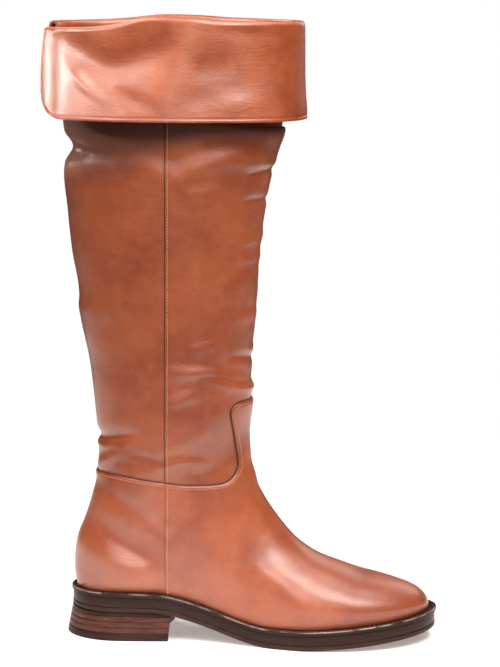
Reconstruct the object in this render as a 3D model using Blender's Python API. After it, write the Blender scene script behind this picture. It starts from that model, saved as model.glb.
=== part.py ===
"""Over-the-knee boot for the right foot, with its cuff turned down.

Tables and sizes are in millimetres: x runs from the back of the heel to the toe, y to the inner
side of the foot, z up from the floor. One function gives the boot's skin, from the toe to the
fold of the cuff; upper, shaft and cuff are walls built on either side of it.
"""
import bmesh
import bpy
from bisect import bisect_right
from collections import namedtuple
from math import asin, cos, pi, sin, sqrt
from mathutils import Vector

MM = 0.001
GAP = 0.3
WELD = 0.01
FAR = 90.0
# The object's origin is under the middle of the heel.
ORIGIN_X = 35.0

# ---- sole ---------------------------------------------------------------------------------
WELT_BACK = 0.2
WELT_TIP = 268.0
TIP_Y = 5.0
HEEL_ROUND = 35.0
WAIST_X = 98.0
BALL_OUTER_X = 180.0
BALL_INNER_X = 192.0
HEEL_HALF = 29.8
WAIST_OUTER = 30.5
WAIST_INNER = 26.0
BALL_OUTER = 45.5
BALL_INNER = 46.5
TOE_FULLNESS = 2.1
SOLE_HEEL_STEPS = 6
SOLE_TOE_STEPS = 9

WELT_THICK = 3.0
WELT_WIDTH = 9.0
MIDSOLE_THICK = 7.2
OUTSOLE_THICK = 3.4
STACK = WELT_THICK + MIDSOLE_THICK + OUTSOLE_THICK + 2.0 * GAP
ARCH_START = 60.0
ARCH_END = 150.0
SPRING_START = 168.0
TOE_SPRING = 9.5
SPRING_CURVE = 1.35
# How far the welt stands out past the upper, at the heel's back and at the toe.
FEATHER_BACK = 3.6
FEATHER_TIP = 5.5

# ---- heel ---------------------------------------------------------------------------------
TOP_PIECE_THICK = 5.4
LIFT_THICK = 3.8
LIFT_COUNT = 3
BASE_LIFT_THICK = 2.6
HEEL_HEIGHT = TOP_PIECE_THICK + LIFT_COUNT * LIFT_THICK + BASE_LIFT_THICK + (LIFT_COUNT + 2) * GAP
BREAST_X = 75.5
BREAST_LEAN = 2.0
BREAST_HOLLOW = 4.0
BREAST_STEPS = 6
HEEL_FLARE_BACK = 3.0
HEEL_FLARE_SIDE = 1.2
HEEL_INSET = 0.8
HEEL_ARC_STEPS = 7

# ---- leather ------------------------------------------------------------------------------
SHAFT_WALL = (-1.95, -0.15)
UPPER_WALL = (0.15, 1.95)
UPPER_TURN = UPPER_WALL[1]
INSOLE_THICK = 3.0
INSOLE_CLEAR = 3.2
LAP = 9.0
SEAT_LIMIT = 45.0
RIM_LIFT = 0.05

# The skin over the foot, keyed by the place on the seat where a section starts.
#   front_x, front_z: where the section meets the ridge of the instep
#   bulge: how far the wall swells past the feather line
#   half: half width once the foot has become the leg; leg: 0 for a foot, 1 for a leg
#   power: 1 for a wall that rises on an ellipse, less for a blunter back
#   low: height of the widest place, as a share of the section; ridge_y: side shift of the ridge
Foot = namedtuple("Foot", "key front_x front_z bulge half leg power low ridge_y")
FOOT = (
    Foot(6.8, 128.6, 138.0, 0.0, 31.0, 1.00, 0.75, 0.483, 0.0),
    Foot(22.0, 129.6, 129.5, 2.0, 30.6, 1.00, 0.78, 0.434, 0.0),
    Foot(42.0, 132.4, 120.0, 3.0, 30.8, 0.80, 0.86, 0.384, 0.0),
    Foot(65.0, 136.4, 108.0, 3.5, 31.5, 0.35, 0.95, 0.360, 0.5),
    Foot(90.0, 143.6, 96.0, 4.0, 32.0, 0.00, 1.00, 0.350, 1.0),
    Foot(115.0, 153.4, 83.0, 3.5, 32.0, 0.00, 1.00, 0.350, 1.5),
    Foot(140.0, 164.8, 70.4, 2.5, 32.0, 0.00, 1.00, 0.350, 2.0),
    Foot(165.0, 179.2, 59.4, 1.8, 32.0, 0.00, 1.00, 0.340, 2.5),
    Foot(190.0, 197.2, 51.8, 1.5, 32.0, 0.00, 1.00, 0.340, 3.5),
    Foot(215.0, 216.6, 45.4, 1.5, 32.0, 0.00, 1.00, 0.340, 4.5),
    Foot(238.0, 238.4, 43.0, 1.5, 32.0, 0.00, 1.00, 0.360, 5.0),
    Foot(262.0, 262.0, 45.0, 1.5, 32.0, 0.00, 1.00, 0.380, 5.0),
)
TOE_CAP_START = 215.0

# The skin up the heel and the leg, keyed by the height of the back seam.
Leg = namedtuple("Leg", "key back_x front_x front_z half power low")
LEG = (
    Leg(34.8, 6.4, 128.6, 138.0, 31.0, 0.75, 0.483),
    Leg(52.0, 4.8, 128.0, 145.0, 31.6, 0.77, 0.470),
    Leg(72.0, 7.6, 127.8, 152.5, 32.6, 0.80, 0.469),
    Leg(87.0, 11.4, 128.2, 158.5, 33.8, 0.84, 0.478),
    Leg(102.0, 16.6, 129.0, 164.5, 35.2, 0.88, 0.485),
    Leg(116.0, 20.0, 129.7, 170.5, 36.6, 0.92, 0.494),
    Leg(130.0, 19.2, 130.5, 177.5, 37.6, 0.96, 0.500),
    Leg(146.0, 19.0, 131.0, 185.5, 38.4, 1.00, 0.500),
    Leg(164.0, 17.6, 131.0, 196.0, 39.2, 1.00, 0.500),
    Leg(184.0, 15.4, 131.0, 209.0, 40.0, 1.00, 0.500),
    Leg(206.0, 12.2, 131.8, 224.0, 41.0, 1.00, 0.500),
    Leg(236.0, 5.8, 133.3, 246.0, 42.6, 1.00, 0.500),
    Leg(258.0, 4.6, 134.4, 262.5, 44.0, 1.00, 0.500),
    Leg(284.0, 0.0, 135.6, 284.0, 45.6, 1.00, 0.500),
    Leg(312.0, -3.2, 138.4, 309.0, 47.0, 1.00, 0.500),
    Leg(334.0, -5.6, 141.6, 329.0, 48.1, 1.00, 0.500),
    Leg(346.0, -4.6, 143.8, 339.5, 48.5, 1.00, 0.500),
    Leg(356.0, 0.4, 146.0, 348.0, 48.9, 1.00, 0.500),
    Leg(367.0, -5.2, 148.6, 356.5, 49.3, 1.00, 0.500),
    Leg(392.0, -7.6, 153.0, 371.5, 50.0, 1.00, 0.500),
    Leg(418.0, -10.6, 156.6, 408.0, 51.2, 1.00, 0.500),
    Leg(450.0, -12.0, 159.8, 450.0, 52.6, 1.00, 0.500),
)
SHAFT_TOP = 392.0

# Where the sections lie, and how many places each has round the boot.
TOE_STEPS = 8
FOOT_KEYS = (215.0, 200.0, 184.0, 168.0, 152.0, 137.0, 122.0, 107.0, 93.0, 79.0, 65.0, 51.0)
SOLE_WAIST_STATIONS = (HEEL_ROUND, 43.0) + FOOT_KEYS[:2:-1]
SHAFT_FIRST_KEY = 9
HEEL_CAP_START = 38.0
HEEL_STEPS = 5
ANKLE_KEYS = (45.0, 56.0, 68.0, 80.0, 92.0, 104.0, 116.0, 128.0, 138.0)
SHAFT_KEYS = (152.0, 168.0, 186.0, 206.0, 226.0, 240.0, 258.0, 279.0, 300.0, 322.0, 336.0, 347.0,
              356.0, 366.0, 378.0, SHAFT_TOP)
LOW_STEPS = 6
HIGH_STEPS = 8

# ---- seam ---------------------------------------------------------------------------------
# Where the foot part laps over the shaft, seen from the side, with its tab up the shin.
Seam = namedtuple("Seam", "key z")
SEAM = (
    Seam(18.0, 122.2),
    Seam(38.0, 122.4),
    Seam(55.0, 120.8),
    Seam(70.0, 118.8),
    Seam(84.0, 116.6),
    Seam(102.0, 116.0),
)
SEAM_STEPS = 7
TAB_FOOT_Z = 116.2
TAB_LOW_X = 122.2
TAB_HIGH_X = 116.9
TAB_TURN_R = 14.0
TAB_TOP_Z = 176.6
TAB_CORNER_R = 8.0
TAB_STEPS = 5

# ---- cuff ---------------------------------------------------------------------------------
# Height of the fold on the outer and the inner side, keyed by the place along the boot.
Fold = namedtuple("Fold", "key outer inner")
FOLD = (
    Fold(-20.0, 439.6, 443.8),
    Fold(16.0, 440.8, 444.2),
    Fold(38.0, 443.4, 445.6),
    Fold(57.0, 448.4, 448.0),
    Fold(82.0, 448.8, 448.0),
    Fold(108.0, 446.6, 446.6),
    Fold(170.0, 446.2, 446.2),
)
CUFF_HALF_WALL = 0.8
CUFF_INNER_STEPS = 4
CUFF_FOLD_STEPS = 4
CUFF_DROP_STEPS = 6
CUFF_TUCK = -4.0
CUFF_TUCK_SHARE = 0.35
CUFF_FOLD_R = 2.6
CUFF_HEM_Z = 378.5
CUFF_STAND_SIDE = 5.5
CUFF_STAND_ENDS = 13.0
CUFF_FLARE = 4.0
CUFF_FLARE_SPAN = 0.09
CUFF_LEAN = 2.2
CUFF_CORNER_R = 26.0
CUFF_CORNER_SPAN = 0.065
CUFF_CORNER_STEPS = 5
CUFF_ROUND_STEPS = 28
# The outer flap leans back past the inner one at the fold. The slit's half gap is a turn round
# the leg in radians.
SLIT_INNER = 0.012
SLIT_FOLD = 0.09
SLIT_HEM = 0.22
LEVEL_PASSES = 6

# ---- colours ------------------------------------------------------------------------------
TAN_LEATHER = (0.43, 0.105, 0.038)
DARK_EDGE = (0.045, 0.022, 0.014)
STACKED_LEATHER = (0.17, 0.045, 0.028)
BOARD = (0.46, 0.30, 0.18)


# ---- small tools --------------------------------------------------------------------------
def place(x, y, z):
    """A point of the boot in metres, from the middle of the heel's underside."""
    return Vector(((x - ORIGIN_X) * MM, y * MM, z * MM))


def ease(value, start, end):
    """Smooth step from 0 at start to 1 at end."""
    share = min(max((value - start) / (end - start), 0.0), 1.0)
    return share * share * (3.0 - 2.0 * share)


def smooth(rows, key, column):
    """A table's column at a key, on a curve with the mean slope of each row's neighbours."""
    keys = [row.key for row in rows]
    values = [getattr(row, column) for row in rows]
    last = len(rows) - 1
    i = min(max(bisect_right(keys, key) - 1, 0), last - 1)
    width = keys[i + 1] - keys[i]
    share = (min(max(key, keys[0]), keys[-1]) - keys[i]) / width

    def slope(k):
        low = max(k - 1, 0)
        high = min(k + 1, last)
        return (values[high] - values[low]) / (keys[high] - keys[low]) * width

    square = share * share
    cube = square * share
    return ((2.0 * cube - 3.0 * square + 1.0) * values[i] + (cube - 2.0 * square + share) * slope(i)
            + (3.0 * square - 2.0 * cube) * values[i + 1] + (cube - square) * slope(i + 1))


def material(name, colour, roughness):
    """A Principled material of one plain finish."""
    made = bpy.data.materials.new(name)
    made.use_nodes = True
    shader = made.node_tree.nodes["Principled BSDF"]
    shader.inputs["Base Color"].default_value = (*colour, 1.0)
    shader.inputs["Roughness"].default_value = roughness
    shader.inputs["Metallic"].default_value = 0.0
    return made


def add_object(name, tool, finish, smooth_faces=True):
    """Turn a bmesh into one named object with its own material."""
    mesh = bpy.data.meshes.new(name)
    tool.to_mesh(mesh)
    tool.free()
    for face in mesh.polygons:
        face.use_smooth = smooth_faces
    mesh.materials.append(material(name + "_finish", *finish))
    made = bpy.data.objects.new(name, mesh)
    bpy.context.scene.collection.objects.link(made)
    return made


# ---- outline of the sole ------------------------------------------------------------------
def sole_side(x, side, inset_back, inset_front):
    """Where the outline lies at x, on the outer (-1) or the inner (+1) side."""
    back = WELT_BACK + inset_back
    tip = WELT_TIP - inset_front
    ball_x = BALL_OUTER_X if side < 0 else BALL_INNER_X
    ball = (BALL_OUTER if side < 0 else BALL_INNER) - inset_front
    waist = (WAIST_OUTER if side < 0 else WAIST_INNER) - 0.5 * (inset_back + inset_front)
    heel = HEEL_HALF - inset_back
    if x <= HEEL_ROUND:
        share = min((HEEL_ROUND - x) / (HEEL_ROUND - back), 1.0)
        return side * heel * sqrt(1.0 - share ** 2)
    if x <= WAIST_X:
        return side * (heel + (waist - heel) * ease(x, HEEL_ROUND, WAIST_X))
    if x <= ball_x:
        return side * (waist + (ball - waist) * ease(x, WAIST_X, ball_x))
    share = min((x - ball_x) / (tip - ball_x), 1.0)
    return TIP_Y + (side * ball - TIP_Y) * sqrt(1.0 - share ** TOE_FULLNESS)


def sole_loop(inset_back, inset_front):
    """Outline points from the heel along the outer side to the toe and back."""
    back = WELT_BACK + inset_back
    tip = WELT_TIP - inset_front
    heel = [HEEL_ROUND - (HEEL_ROUND - back) * cos(0.5 * pi * i / SOLE_HEEL_STEPS)
            for i in range(SOLE_HEEL_STEPS)]
    toe = [BALL_OUTER_X + (tip - BALL_OUTER_X) * sin(0.5 * pi * i / SOLE_TOE_STEPS)
           for i in range(SOLE_TOE_STEPS + 1)]
    stations = heel + list(SOLE_WAIST_STATIONS) + toe
    outer = [(x, sole_side(x, -1, inset_back, inset_front)) for x in stations]
    inner = [(x, sole_side(x, 1, inset_back, inset_front)) for x in stations[1:-1]]
    return outer + inner[::-1]


def seat(x):
    """Height of the welt's top: level over the heel, down the arch, flat, then the toe spring."""
    drop = HEEL_HEIGHT * (1.0 - ease(x, ARCH_START, ARCH_END))
    reach = max(x - SPRING_START, 0.0) / (WELT_TIP - SPRING_START)
    return STACK + drop + TOE_SPRING * reach ** SPRING_CURVE


def join_rings(tool, rings, closed=False):
    """Quads between each ring and the next, and from the last back to the first if closed."""
    pairs = list(zip(rings, rings[1:]))
    if closed:
        pairs.append((rings[-1], rings[0]))
    for low, high in pairs:
        for i in range(len(low)):
            j = (i + 1) % len(low)
            tool.faces.new((low[i], low[j], high[j], high[i]))


def cap_across(tool, ring, flip):
    """Fill a ring with strips that run straight across the foot."""
    count = len(ring)
    for i in range(count // 2):
        strip = (ring[i], ring[i + 1], ring[count - i - 1], ring[-i])
        corners = [vert for k, vert in enumerate(strip) if vert not in strip[:k]]
        tool.faces.new(corners[::-1] if flip else corners)


def sole_layer(name, finish, rings, extra=(0.0, 0.0), hollow=False):
    """A layer of the sole from rings of (inset, depth under the seat), bottom ring first."""
    tool = bmesh.new()
    made = []
    for inset, depth in rings:
        loop = sole_loop(extra[0] + inset, extra[1] + inset)
        made.append([tool.verts.new(place(x, y, seat(x) - depth)) for x, y in loop])
    join_rings(tool, made, closed=hollow)
    if not hollow:
        cap_across(tool, made[0], flip=True)
        cap_across(tool, made[-1], flip=False)
    return add_object(name, tool, finish)


def heel_loop(share):
    """Outline of the heel at a share of its height, 0 at the floor, with its hollow breast."""
    grow_back = HEEL_FLARE_BACK * (1.0 - share) - HEEL_INSET * share
    grow_side = HEEL_FLARE_SIDE * (1.0 - share) - HEEL_INSET * share
    half = []
    for i in range(HEEL_ARC_STEPS + 1):
        angle = 0.5 * pi * i / HEEL_ARC_STEPS
        x = HEEL_ROUND - (HEEL_ROUND - WELT_BACK + grow_back) * cos(angle)
        half.append((x, (HEEL_HALF + grow_side) * sin(angle)))
    breast_x = BREAST_X - BREAST_LEAN * (1.0 - share)
    end_half = sole_side(breast_x, 1, 0.0, 0.0) + grow_side
    middle = 0.5 * (HEEL_ROUND + breast_x)
    half.append((middle, sole_side(middle, 1, 0.0, 0.0) + grow_side))
    half.append((breast_x, end_half))
    breast = []
    for i in range(1, BREAST_STEPS):
        y = end_half * (2.0 * i / BREAST_STEPS - 1.0)
        breast.append((breast_x - BREAST_HOLLOW * (1.0 - (y / end_half) ** 2), y))
    return [(x, -y) for x, y in half] + breast + half[:0:-1]


def heel_layer(name, finish, low, high, under_sole=False):
    """One layer of the heel between two heights; the top one follows the outsole's underside."""
    tool = bmesh.new()
    rings = []
    for z in (low, high):
        ring = []
        for x, y in heel_loop(z / HEEL_HEIGHT):
            limit = seat(x) - STACK - GAP if under_sole and z == high else z
            ring.append(tool.verts.new(place(x, y, min(z, limit))))
        rings.append(ring)
    join_rings(tool, rings)
    tool.faces.new(rings[0][::-1])
    tool.faces.new(rings[1])
    return add_object(name, tool, finish, smooth_faces=False)


# ---- skin of the boot ---------------------------------------------------------------------
def section(back, front, power, low, outer, inner, ridge_y):
    """One section of the skin, from its outer lower edge over the front to its inner lower edge.

    back and front are (x, z); outer and inner are (half width at the edge, half width at the
    widest place). power and low are the tables' columns.
    """
    sides = []
    for side, (edge, widest) in ((-1, outer), (1, inner)):
        start = asin((edge / widest) ** (1.0 / power))
        half = []
        for i in range(LOW_STEPS):
            angle = start + (0.5 * pi - start) * i / LOW_STEPS
            half.append((widest * sin(angle) ** power, low * (1.0 - cos(angle) / cos(start))))
        for i in range(HIGH_STEPS + 1):
            angle = 0.5 * pi * i / HIGH_STEPS
            half.append((ridge_y * side + (widest - ridge_y * side) * cos(angle),
                         low + (1.0 - low) * sin(angle)))
        sides.append([(back[0] + (front[0] - back[0]) * rise, side * y,
                       back[1] + (front[1] - back[1]) * rise) for y, rise in half])
    return sides[0] + sides[1][-2::-1]


def foot_section(key, cap=1.0):
    """Section that starts on the seat at key; cap falls from 1 to 0 at the very toe."""
    leg = smooth(FOOT, key, "leg")
    halves = []
    for side in (-1, 1):
        edge = side * sole_side(key, side, FEATHER_BACK + UPPER_TURN, FEATHER_TIP + UPPER_TURN)
        foot = edge + smooth(FOOT, key, "bulge") * cap
        halves.append((edge, foot + (smooth(FOOT, key, "half") - foot) * leg))
    base = seat(key) + GAP
    front_x = smooth(FOOT, key, "front_x") if cap == 1.0 else key
    front_z = base + (smooth(FOOT, key, "front_z") - base) * cap
    return section((key, base), (front_x, front_z), smooth(FOOT, key, "power"),
                   smooth(FOOT, key, "low"), halves[0], halves[1], smooth(FOOT, key, "ridge_y"))


def leg_section(key):
    """Section that starts on the back seam at the height key."""
    half = smooth(LEG, key, "half")
    back = (smooth(LEG, key, "back_x"), key)
    front = (smooth(LEG, key, "front_x"), smooth(LEG, key, "front_z"))
    return section(back, front, smooth(LEG, key, "power"), smooth(LEG, key, "low"),
                   (0.0, half), (0.0, half), 0.0)


def toe_rows():
    """Rows of the skin over the round of the toe, from the tip."""
    tip = WELT_TIP - FEATHER_TIP - UPPER_TURN
    rows = [[(tip, TIP_Y, seat(tip) + GAP)]]
    for i in range(TOE_STEPS - 1, 0, -1):
        angle = 0.5 * pi * i / TOE_STEPS
        rows.append(foot_section(TOE_CAP_START + (tip - TOE_CAP_START) * sin(angle), cos(angle)))
    return rows


def heel_rows():
    """Rows that round the heel's seat; the last one closes to the back seam."""
    back = WELT_BACK + FEATHER_BACK + UPPER_TURN
    reach = HEEL_CAP_START - back
    return [foot_section(HEEL_CAP_START - reach * sin(0.5 * pi * i / HEEL_STEPS))
            for i in range(HEEL_STEPS + 1)]


def boot_rows():
    """All rows of the skin, from the toe's tip to the shaft's top edge."""
    return (toe_rows() + [foot_section(key) for key in FOOT_KEYS] + heel_rows()
            + [leg_section(key) for key in ANKLE_KEYS + SHAFT_KEYS])


def skin(rows):
    """Open skin from rows of points; a row whose ends meet is welded into a ring."""
    tool = bmesh.new()
    made = []
    for row in rows:
        ring = len(row) > 1 and (Vector(row[0]) - Vector(row[-1])).length < WELD
        verts = [tool.verts.new(place(*point)) for point in row[:len(row) - ring]]
        made.append(verts + verts[:ring])
    for low, high in zip(made, made[1:]):
        for i in range(len(high) - 1):
            quad = (low[min(i, len(low) - 1)], low[min(i + 1, len(low) - 1)], high[i + 1], high[i])
            tool.faces.new([vert for k, vert in enumerate(quad) if vert not in quad[:k]])
    tool.normal_update()
    tool.verts.index_update()
    return tool


def shell(tool, wall, on_seat=False):
    """Closed wall between two offsets from a skin; one that stands on the seat stays above it."""
    made = bmesh.new()
    layers = []
    for offset in wall:
        layer = []
        for vert in tool.verts:
            spot = vert.co + vert.normal * offset * MM
            if on_seat:
                floor = (seat(spot.x / MM + ORIGIN_X) + GAP) * MM
                rim = vert.is_boundary and vert.co.z < SEAT_LIMIT * MM
                spot.z = floor if rim else max(spot.z, floor + RIM_LIFT * MM)
            layer.append(made.verts.new(spot))
        layers.append(layer)
    inside, outside = layers
    for face in tool.faces:
        loop = [vert.index for vert in face.verts]
        made.faces.new([outside[i] for i in loop])
        made.faces.new([inside[i] for i in reversed(loop)])
    for edge in tool.edges:
        if edge.is_boundary:
            corner = edge.link_loops[0]
            a = corner.vert.index
            b = corner.link_loop_next.vert.index
            made.faces.new((outside[b], outside[a], inside[a], inside[b]))
    tool.free()
    return made


# ---- seam and cutters ---------------------------------------------------------------------
def seam_line(drop=0.0):
    """Level part of the seam, seen from the side, from behind the heel to the tab."""
    points = [(-FAR, SEAM[0].z - drop)]
    for i in range(SEAM_STEPS + 1):
        x = SEAM[0].key + (SEAM[-1].key - SEAM[0].key) * i / SEAM_STEPS
        points.append((x, smooth(SEAM, x, "z") - drop))
    return points


def tab_line():
    """The seam from the ankle up the tab's back edge and over its corner to the shin."""
    points = []
    for i in range(TAB_STEPS + 1):
        angle = 0.5 * pi * i / TAB_STEPS
        points.append((TAB_LOW_X - TAB_TURN_R * (1.0 - sin(angle)),
                       TAB_FOOT_Z + TAB_TURN_R * (1.0 - cos(angle))))
    for i in range(TAB_STEPS + 1):
        angle = 0.5 * pi * i / TAB_STEPS
        points.append((TAB_HIGH_X + TAB_CORNER_R * (1.0 - cos(angle)),
                       TAB_TOP_Z - TAB_CORNER_R * (1.0 - sin(angle))))
    return points


def prism(name, outline):
    """A cutter: a side view outline, run right through from the outer to the inner side."""
    tool = bmesh.new()
    near = [tool.verts.new(place(x, -FAR, z)) for x, z in outline]
    far = [tool.verts.new(place(x, FAR, z)) for x, z in outline]
    join_rings(tool, (near, far))
    tool.faces.new(near[::-1])
    tool.faces.new(far)
    bmesh.ops.recalc_face_normals(tool, faces=tool.faces)
    mesh = bpy.data.meshes.new(name)
    tool.to_mesh(mesh)
    tool.free()
    made = bpy.data.objects.new(name, mesh)
    made.hide_render = True
    made.display_type = "WIRE"
    bpy.context.scene.collection.objects.link(made)
    return made


def cut(target, cutter):
    """Take the cutter out of the target."""
    boolean = target.modifiers.new(cutter.name, "BOOLEAN")
    boolean.operation = "DIFFERENCE"
    boolean.solver = "EXACT"
    boolean.object = cutter


# ---- cuff ---------------------------------------------------------------------------------
def leg_point(turn, z, stand):
    """A point standing off the leg's skin: turn is 0 at the back and pi at the front."""
    rise = 0.5 - 0.5 * cos(turn)
    key = z
    for _ in range(LEVEL_PASSES):
        key = z - (smooth(LEG, key, "front_z") - key) * rise
    back = smooth(LEG, key, "back_x")
    reach = 0.5 * (smooth(LEG, key, "front_x") - back)
    half = smooth(LEG, key, "half")
    normal = Vector((-cos(turn) / reach, -sin(turn) / half)).normalized()
    return (back + reach * (1.0 - cos(turn)) + normal.x * stand,
            -half * sin(turn) + normal.y * stand, z)


def cuff_shares():
    """Shares of the way round the cuff, closer together where the hem's corners are round."""
    corner = [CUFF_CORNER_SPAN * (1.0 - cos(0.5 * pi * i / CUFF_CORNER_STEPS))
              for i in range(CUFF_CORNER_STEPS)]
    middle = [CUFF_CORNER_SPAN + (1.0 - 2.0 * CUFF_CORNER_SPAN) * i / CUFF_ROUND_STEPS
              for i in range(CUFF_ROUND_STEPS + 1)]
    return corner + middle + [1.0 - share for share in reversed(corner)]


def cuff_column(share):
    """The cuff's middle line at one place: up inside the leg, over the fold, down to the hem."""
    def turn(slit):
        return slit + (2.0 * pi - 2.0 * slit) * share

    from_end = min(share, 1.0 - share)
    rise = 0.5 - 0.5 * cos(turn(SLIT_FOLD))
    fold_x = leg_point(turn(SLIT_FOLD), CUFF_HEM_Z, 0.0)[0]
    fold_z = smooth(FOLD, fold_x, "outer" if share < 0.5 else "inner") - CUFF_FOLD_R
    start_z = SHAFT_TOP + (smooth(LEG, SHAFT_TOP, "front_z") - SHAFT_TOP) * rise - LAP
    near_slit = max(1.0 - from_end / CUFF_FLARE_SPAN, 0.0) ** 2
    lean = CUFF_LEAN * near_slit if share < 0.5 else 0.0
    column = []
    for i in range(CUFF_INNER_STEPS):
        part = i / CUFF_INNER_STEPS
        z = start_z + (fold_z - start_z) * part
        stand = CUFF_TUCK * (1.0 - ease(part, CUFF_TUCK_SHARE, 1.0)) + lean * part ** 2
        column.append(leg_point(turn(SLIT_INNER + (SLIT_FOLD - SLIT_INNER) * part ** 2), z, stand))
    for i in range(CUFF_FOLD_STEPS):
        angle = pi * i / CUFF_FOLD_STEPS
        column.append(leg_point(turn(SLIT_FOLD), fold_z + CUFF_FOLD_R * sin(angle),
                                lean + CUFF_FOLD_R * (1.0 - cos(angle))))
    corner = max(1.0 - from_end / CUFF_CORNER_SPAN, 0.0)
    hem_z = CUFF_HEM_Z + CUFF_CORNER_R * (1.0 - sqrt(1.0 - corner ** 2))
    fold_stand = 2.0 * CUFF_FOLD_R + lean
    hem_stand = (CUFF_STAND_SIDE + (CUFF_STAND_ENDS - CUFF_STAND_SIDE) * (2.0 * rise - 1.0) ** 2
                 + CUFF_FLARE * near_slit)
    for i in range(CUFF_DROP_STEPS + 1):
        part = i / CUFF_DROP_STEPS
        z = fold_z + (hem_z - fold_z) * part
        fall = (fold_z - z) / (fold_z - CUFF_HEM_Z)
        stand = fold_stand + (hem_stand - fold_stand) * fall
        column.append(leg_point(turn(SLIT_FOLD + (SLIT_HEM - SLIT_FOLD) * fall), z, stand))
    return column


# ---- the boot -----------------------------------------------------------------------------
def build_sole():
    """Outsole, midsole, welt, stacked heel and insole."""
    deep = WELT_THICK + GAP
    under = deep + MIDSOLE_THICK + GAP
    sole_layer("outsole", (DARK_EDGE, 0.45), (
        (1.5, STACK), (0.8, STACK - 0.6), (0.8, under + 0.5), (1.2, under)))
    sole_layer("midsole", (DARK_EDGE, 0.4), (
        (1.3, under - GAP), (1.0, under - GAP - 0.4), (1.0, deep + 0.4), (1.3, deep)))
    sole_layer("welt", (DARK_EDGE, 0.3), (
        (0.6, WELT_THICK), (0.0, WELT_THICK - 0.7), (0.0, 0.7), (0.7, 0.0),
        (WELT_WIDTH, 0.0), (WELT_WIDTH, WELT_THICK)), hollow=True)
    sole_layer("insole", (BOARD, 0.7), (
        (0.0, -GAP), (0.0, -INSOLE_THICK)),
        extra=(FEATHER_BACK + INSOLE_CLEAR, FEATHER_TIP + INSOLE_CLEAR))
    heel_layer("heel_top_piece", (DARK_EDGE, 0.5), 0.0, TOP_PIECE_THICK)
    z = TOP_PIECE_THICK + GAP
    for number in range(1, LIFT_COUNT + 1):
        heel_layer("heel_lift_%d" % number, (STACKED_LEATHER, 0.45), z, z + LIFT_THICK)
        z += LIFT_THICK + GAP
    heel_layer("heel_base_lift", (DARK_EDGE, 0.4), z, z + BASE_LIFT_THICK, under_sole=True)


def build_upper():
    """Foot part: vamp with its tab and the back quarter, cut along the seam."""
    tool = skin(boot_rows()[:-len(SHAFT_KEYS)])
    upper = add_object("upper", shell(tool, UPPER_WALL, on_seat=True), (TAN_LEATHER, 0.38))
    outline = seam_line() + tab_line()
    outline += [(2.0 * FAR, TAB_TOP_Z), (2.0 * FAR, SHAFT_TOP), (-FAR, SHAFT_TOP)]
    cut(upper, prism("seam_cutter", outline))
    return upper


def build_shaft():
    """Leg tube, from under the lap to its own top edge inside the cuff."""
    tool = skin(boot_rows()[TOE_STEPS + SHAFT_FIRST_KEY:])
    shaft = add_object("shaft", shell(tool, SHAFT_WALL), (TAN_LEATHER, 0.38))
    outline = seam_line(LAP)
    outline += [(2.0 * FAR, outline[-1][1]), (2.0 * FAR, -FAR), (-FAR, -FAR)]
    cut(shaft, prism("lap_cutter", outline))
    return shaft


def build_cuff():
    """Turn-down leather, open in a slit down the back."""
    tool = skin([cuff_column(share) for share in cuff_shares()])
    return add_object("cuff", shell(tool, (-CUFF_HALF_WALL, CUFF_HALF_WALL)), (TAN_LEATHER, 0.35))


def main():
    for old in list(bpy.data.objects):
        bpy.data.objects.remove(old, do_unlink=True)
    build_sole()
    build_upper()
    build_shaft()
    build_cuff()


main()
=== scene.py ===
"""Looks of the over-the-knee boot: folded leather, stitching, polished sole edge and a studio.

Tables and sizes are in millimetres, as in the part's own source: x runs from the back of the heel
to the toe, y to the inner side of the foot, z up from the floor. metres() turns them into metres.
The skin is worked out again from the same tables, finely enough to carry seams and folds.
"""
from collections import namedtuple
from math import asin, cos, pi, radians, sin, sqrt

import bmesh
import bpy
import numpy as np
from mathutils import Matrix, Vector, noise


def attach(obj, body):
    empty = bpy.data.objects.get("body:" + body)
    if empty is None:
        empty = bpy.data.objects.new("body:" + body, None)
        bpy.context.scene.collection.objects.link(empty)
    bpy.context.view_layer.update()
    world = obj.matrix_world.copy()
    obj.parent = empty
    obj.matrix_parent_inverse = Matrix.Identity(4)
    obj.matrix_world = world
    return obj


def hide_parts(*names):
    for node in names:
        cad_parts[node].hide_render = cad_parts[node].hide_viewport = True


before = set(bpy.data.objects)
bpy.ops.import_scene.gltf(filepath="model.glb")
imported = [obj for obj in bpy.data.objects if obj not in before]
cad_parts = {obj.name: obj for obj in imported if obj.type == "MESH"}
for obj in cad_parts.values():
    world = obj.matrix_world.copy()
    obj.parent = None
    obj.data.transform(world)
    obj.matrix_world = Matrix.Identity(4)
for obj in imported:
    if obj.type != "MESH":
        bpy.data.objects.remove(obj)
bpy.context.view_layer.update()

MM = 0.001
GAP = 0.3
WELD = 0.01
ORIGIN_X = 35.0
ROOT = "root"

# ---- sizes of the sole, as in the part ----
WELT_BACK = 0.2
WELT_TIP = 268.0
TIP_Y = 5.0
HEEL_ROUND = 35.0
WAIST_X = 98.0
BALL_OUTER_X = 180.0
BALL_INNER_X = 192.0
HEEL_HALF = 29.8
WAIST_OUTER = 30.5
WAIST_INNER = 26.0
BALL_OUTER = 45.5
BALL_INNER = 46.5
TOE_FULLNESS = 2.1
WELT_THICK = 3.0
WELT_WIDTH = 9.0
MIDSOLE_THICK = 7.2
OUTSOLE_THICK = 3.4
STACK = WELT_THICK + MIDSOLE_THICK + OUTSOLE_THICK + 2.0 * GAP
ARCH_START = 60.0
ARCH_END = 150.0
SPRING_START = 168.0
TOE_SPRING = 9.5
SPRING_CURVE = 1.35
FEATHER_BACK = 3.6
FEATHER_TIP = 5.5
TOP_PIECE_THICK = 5.4
LIFT_THICK = 3.8
LIFT_COUNT = 3
BASE_LIFT_THICK = 2.6
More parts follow.
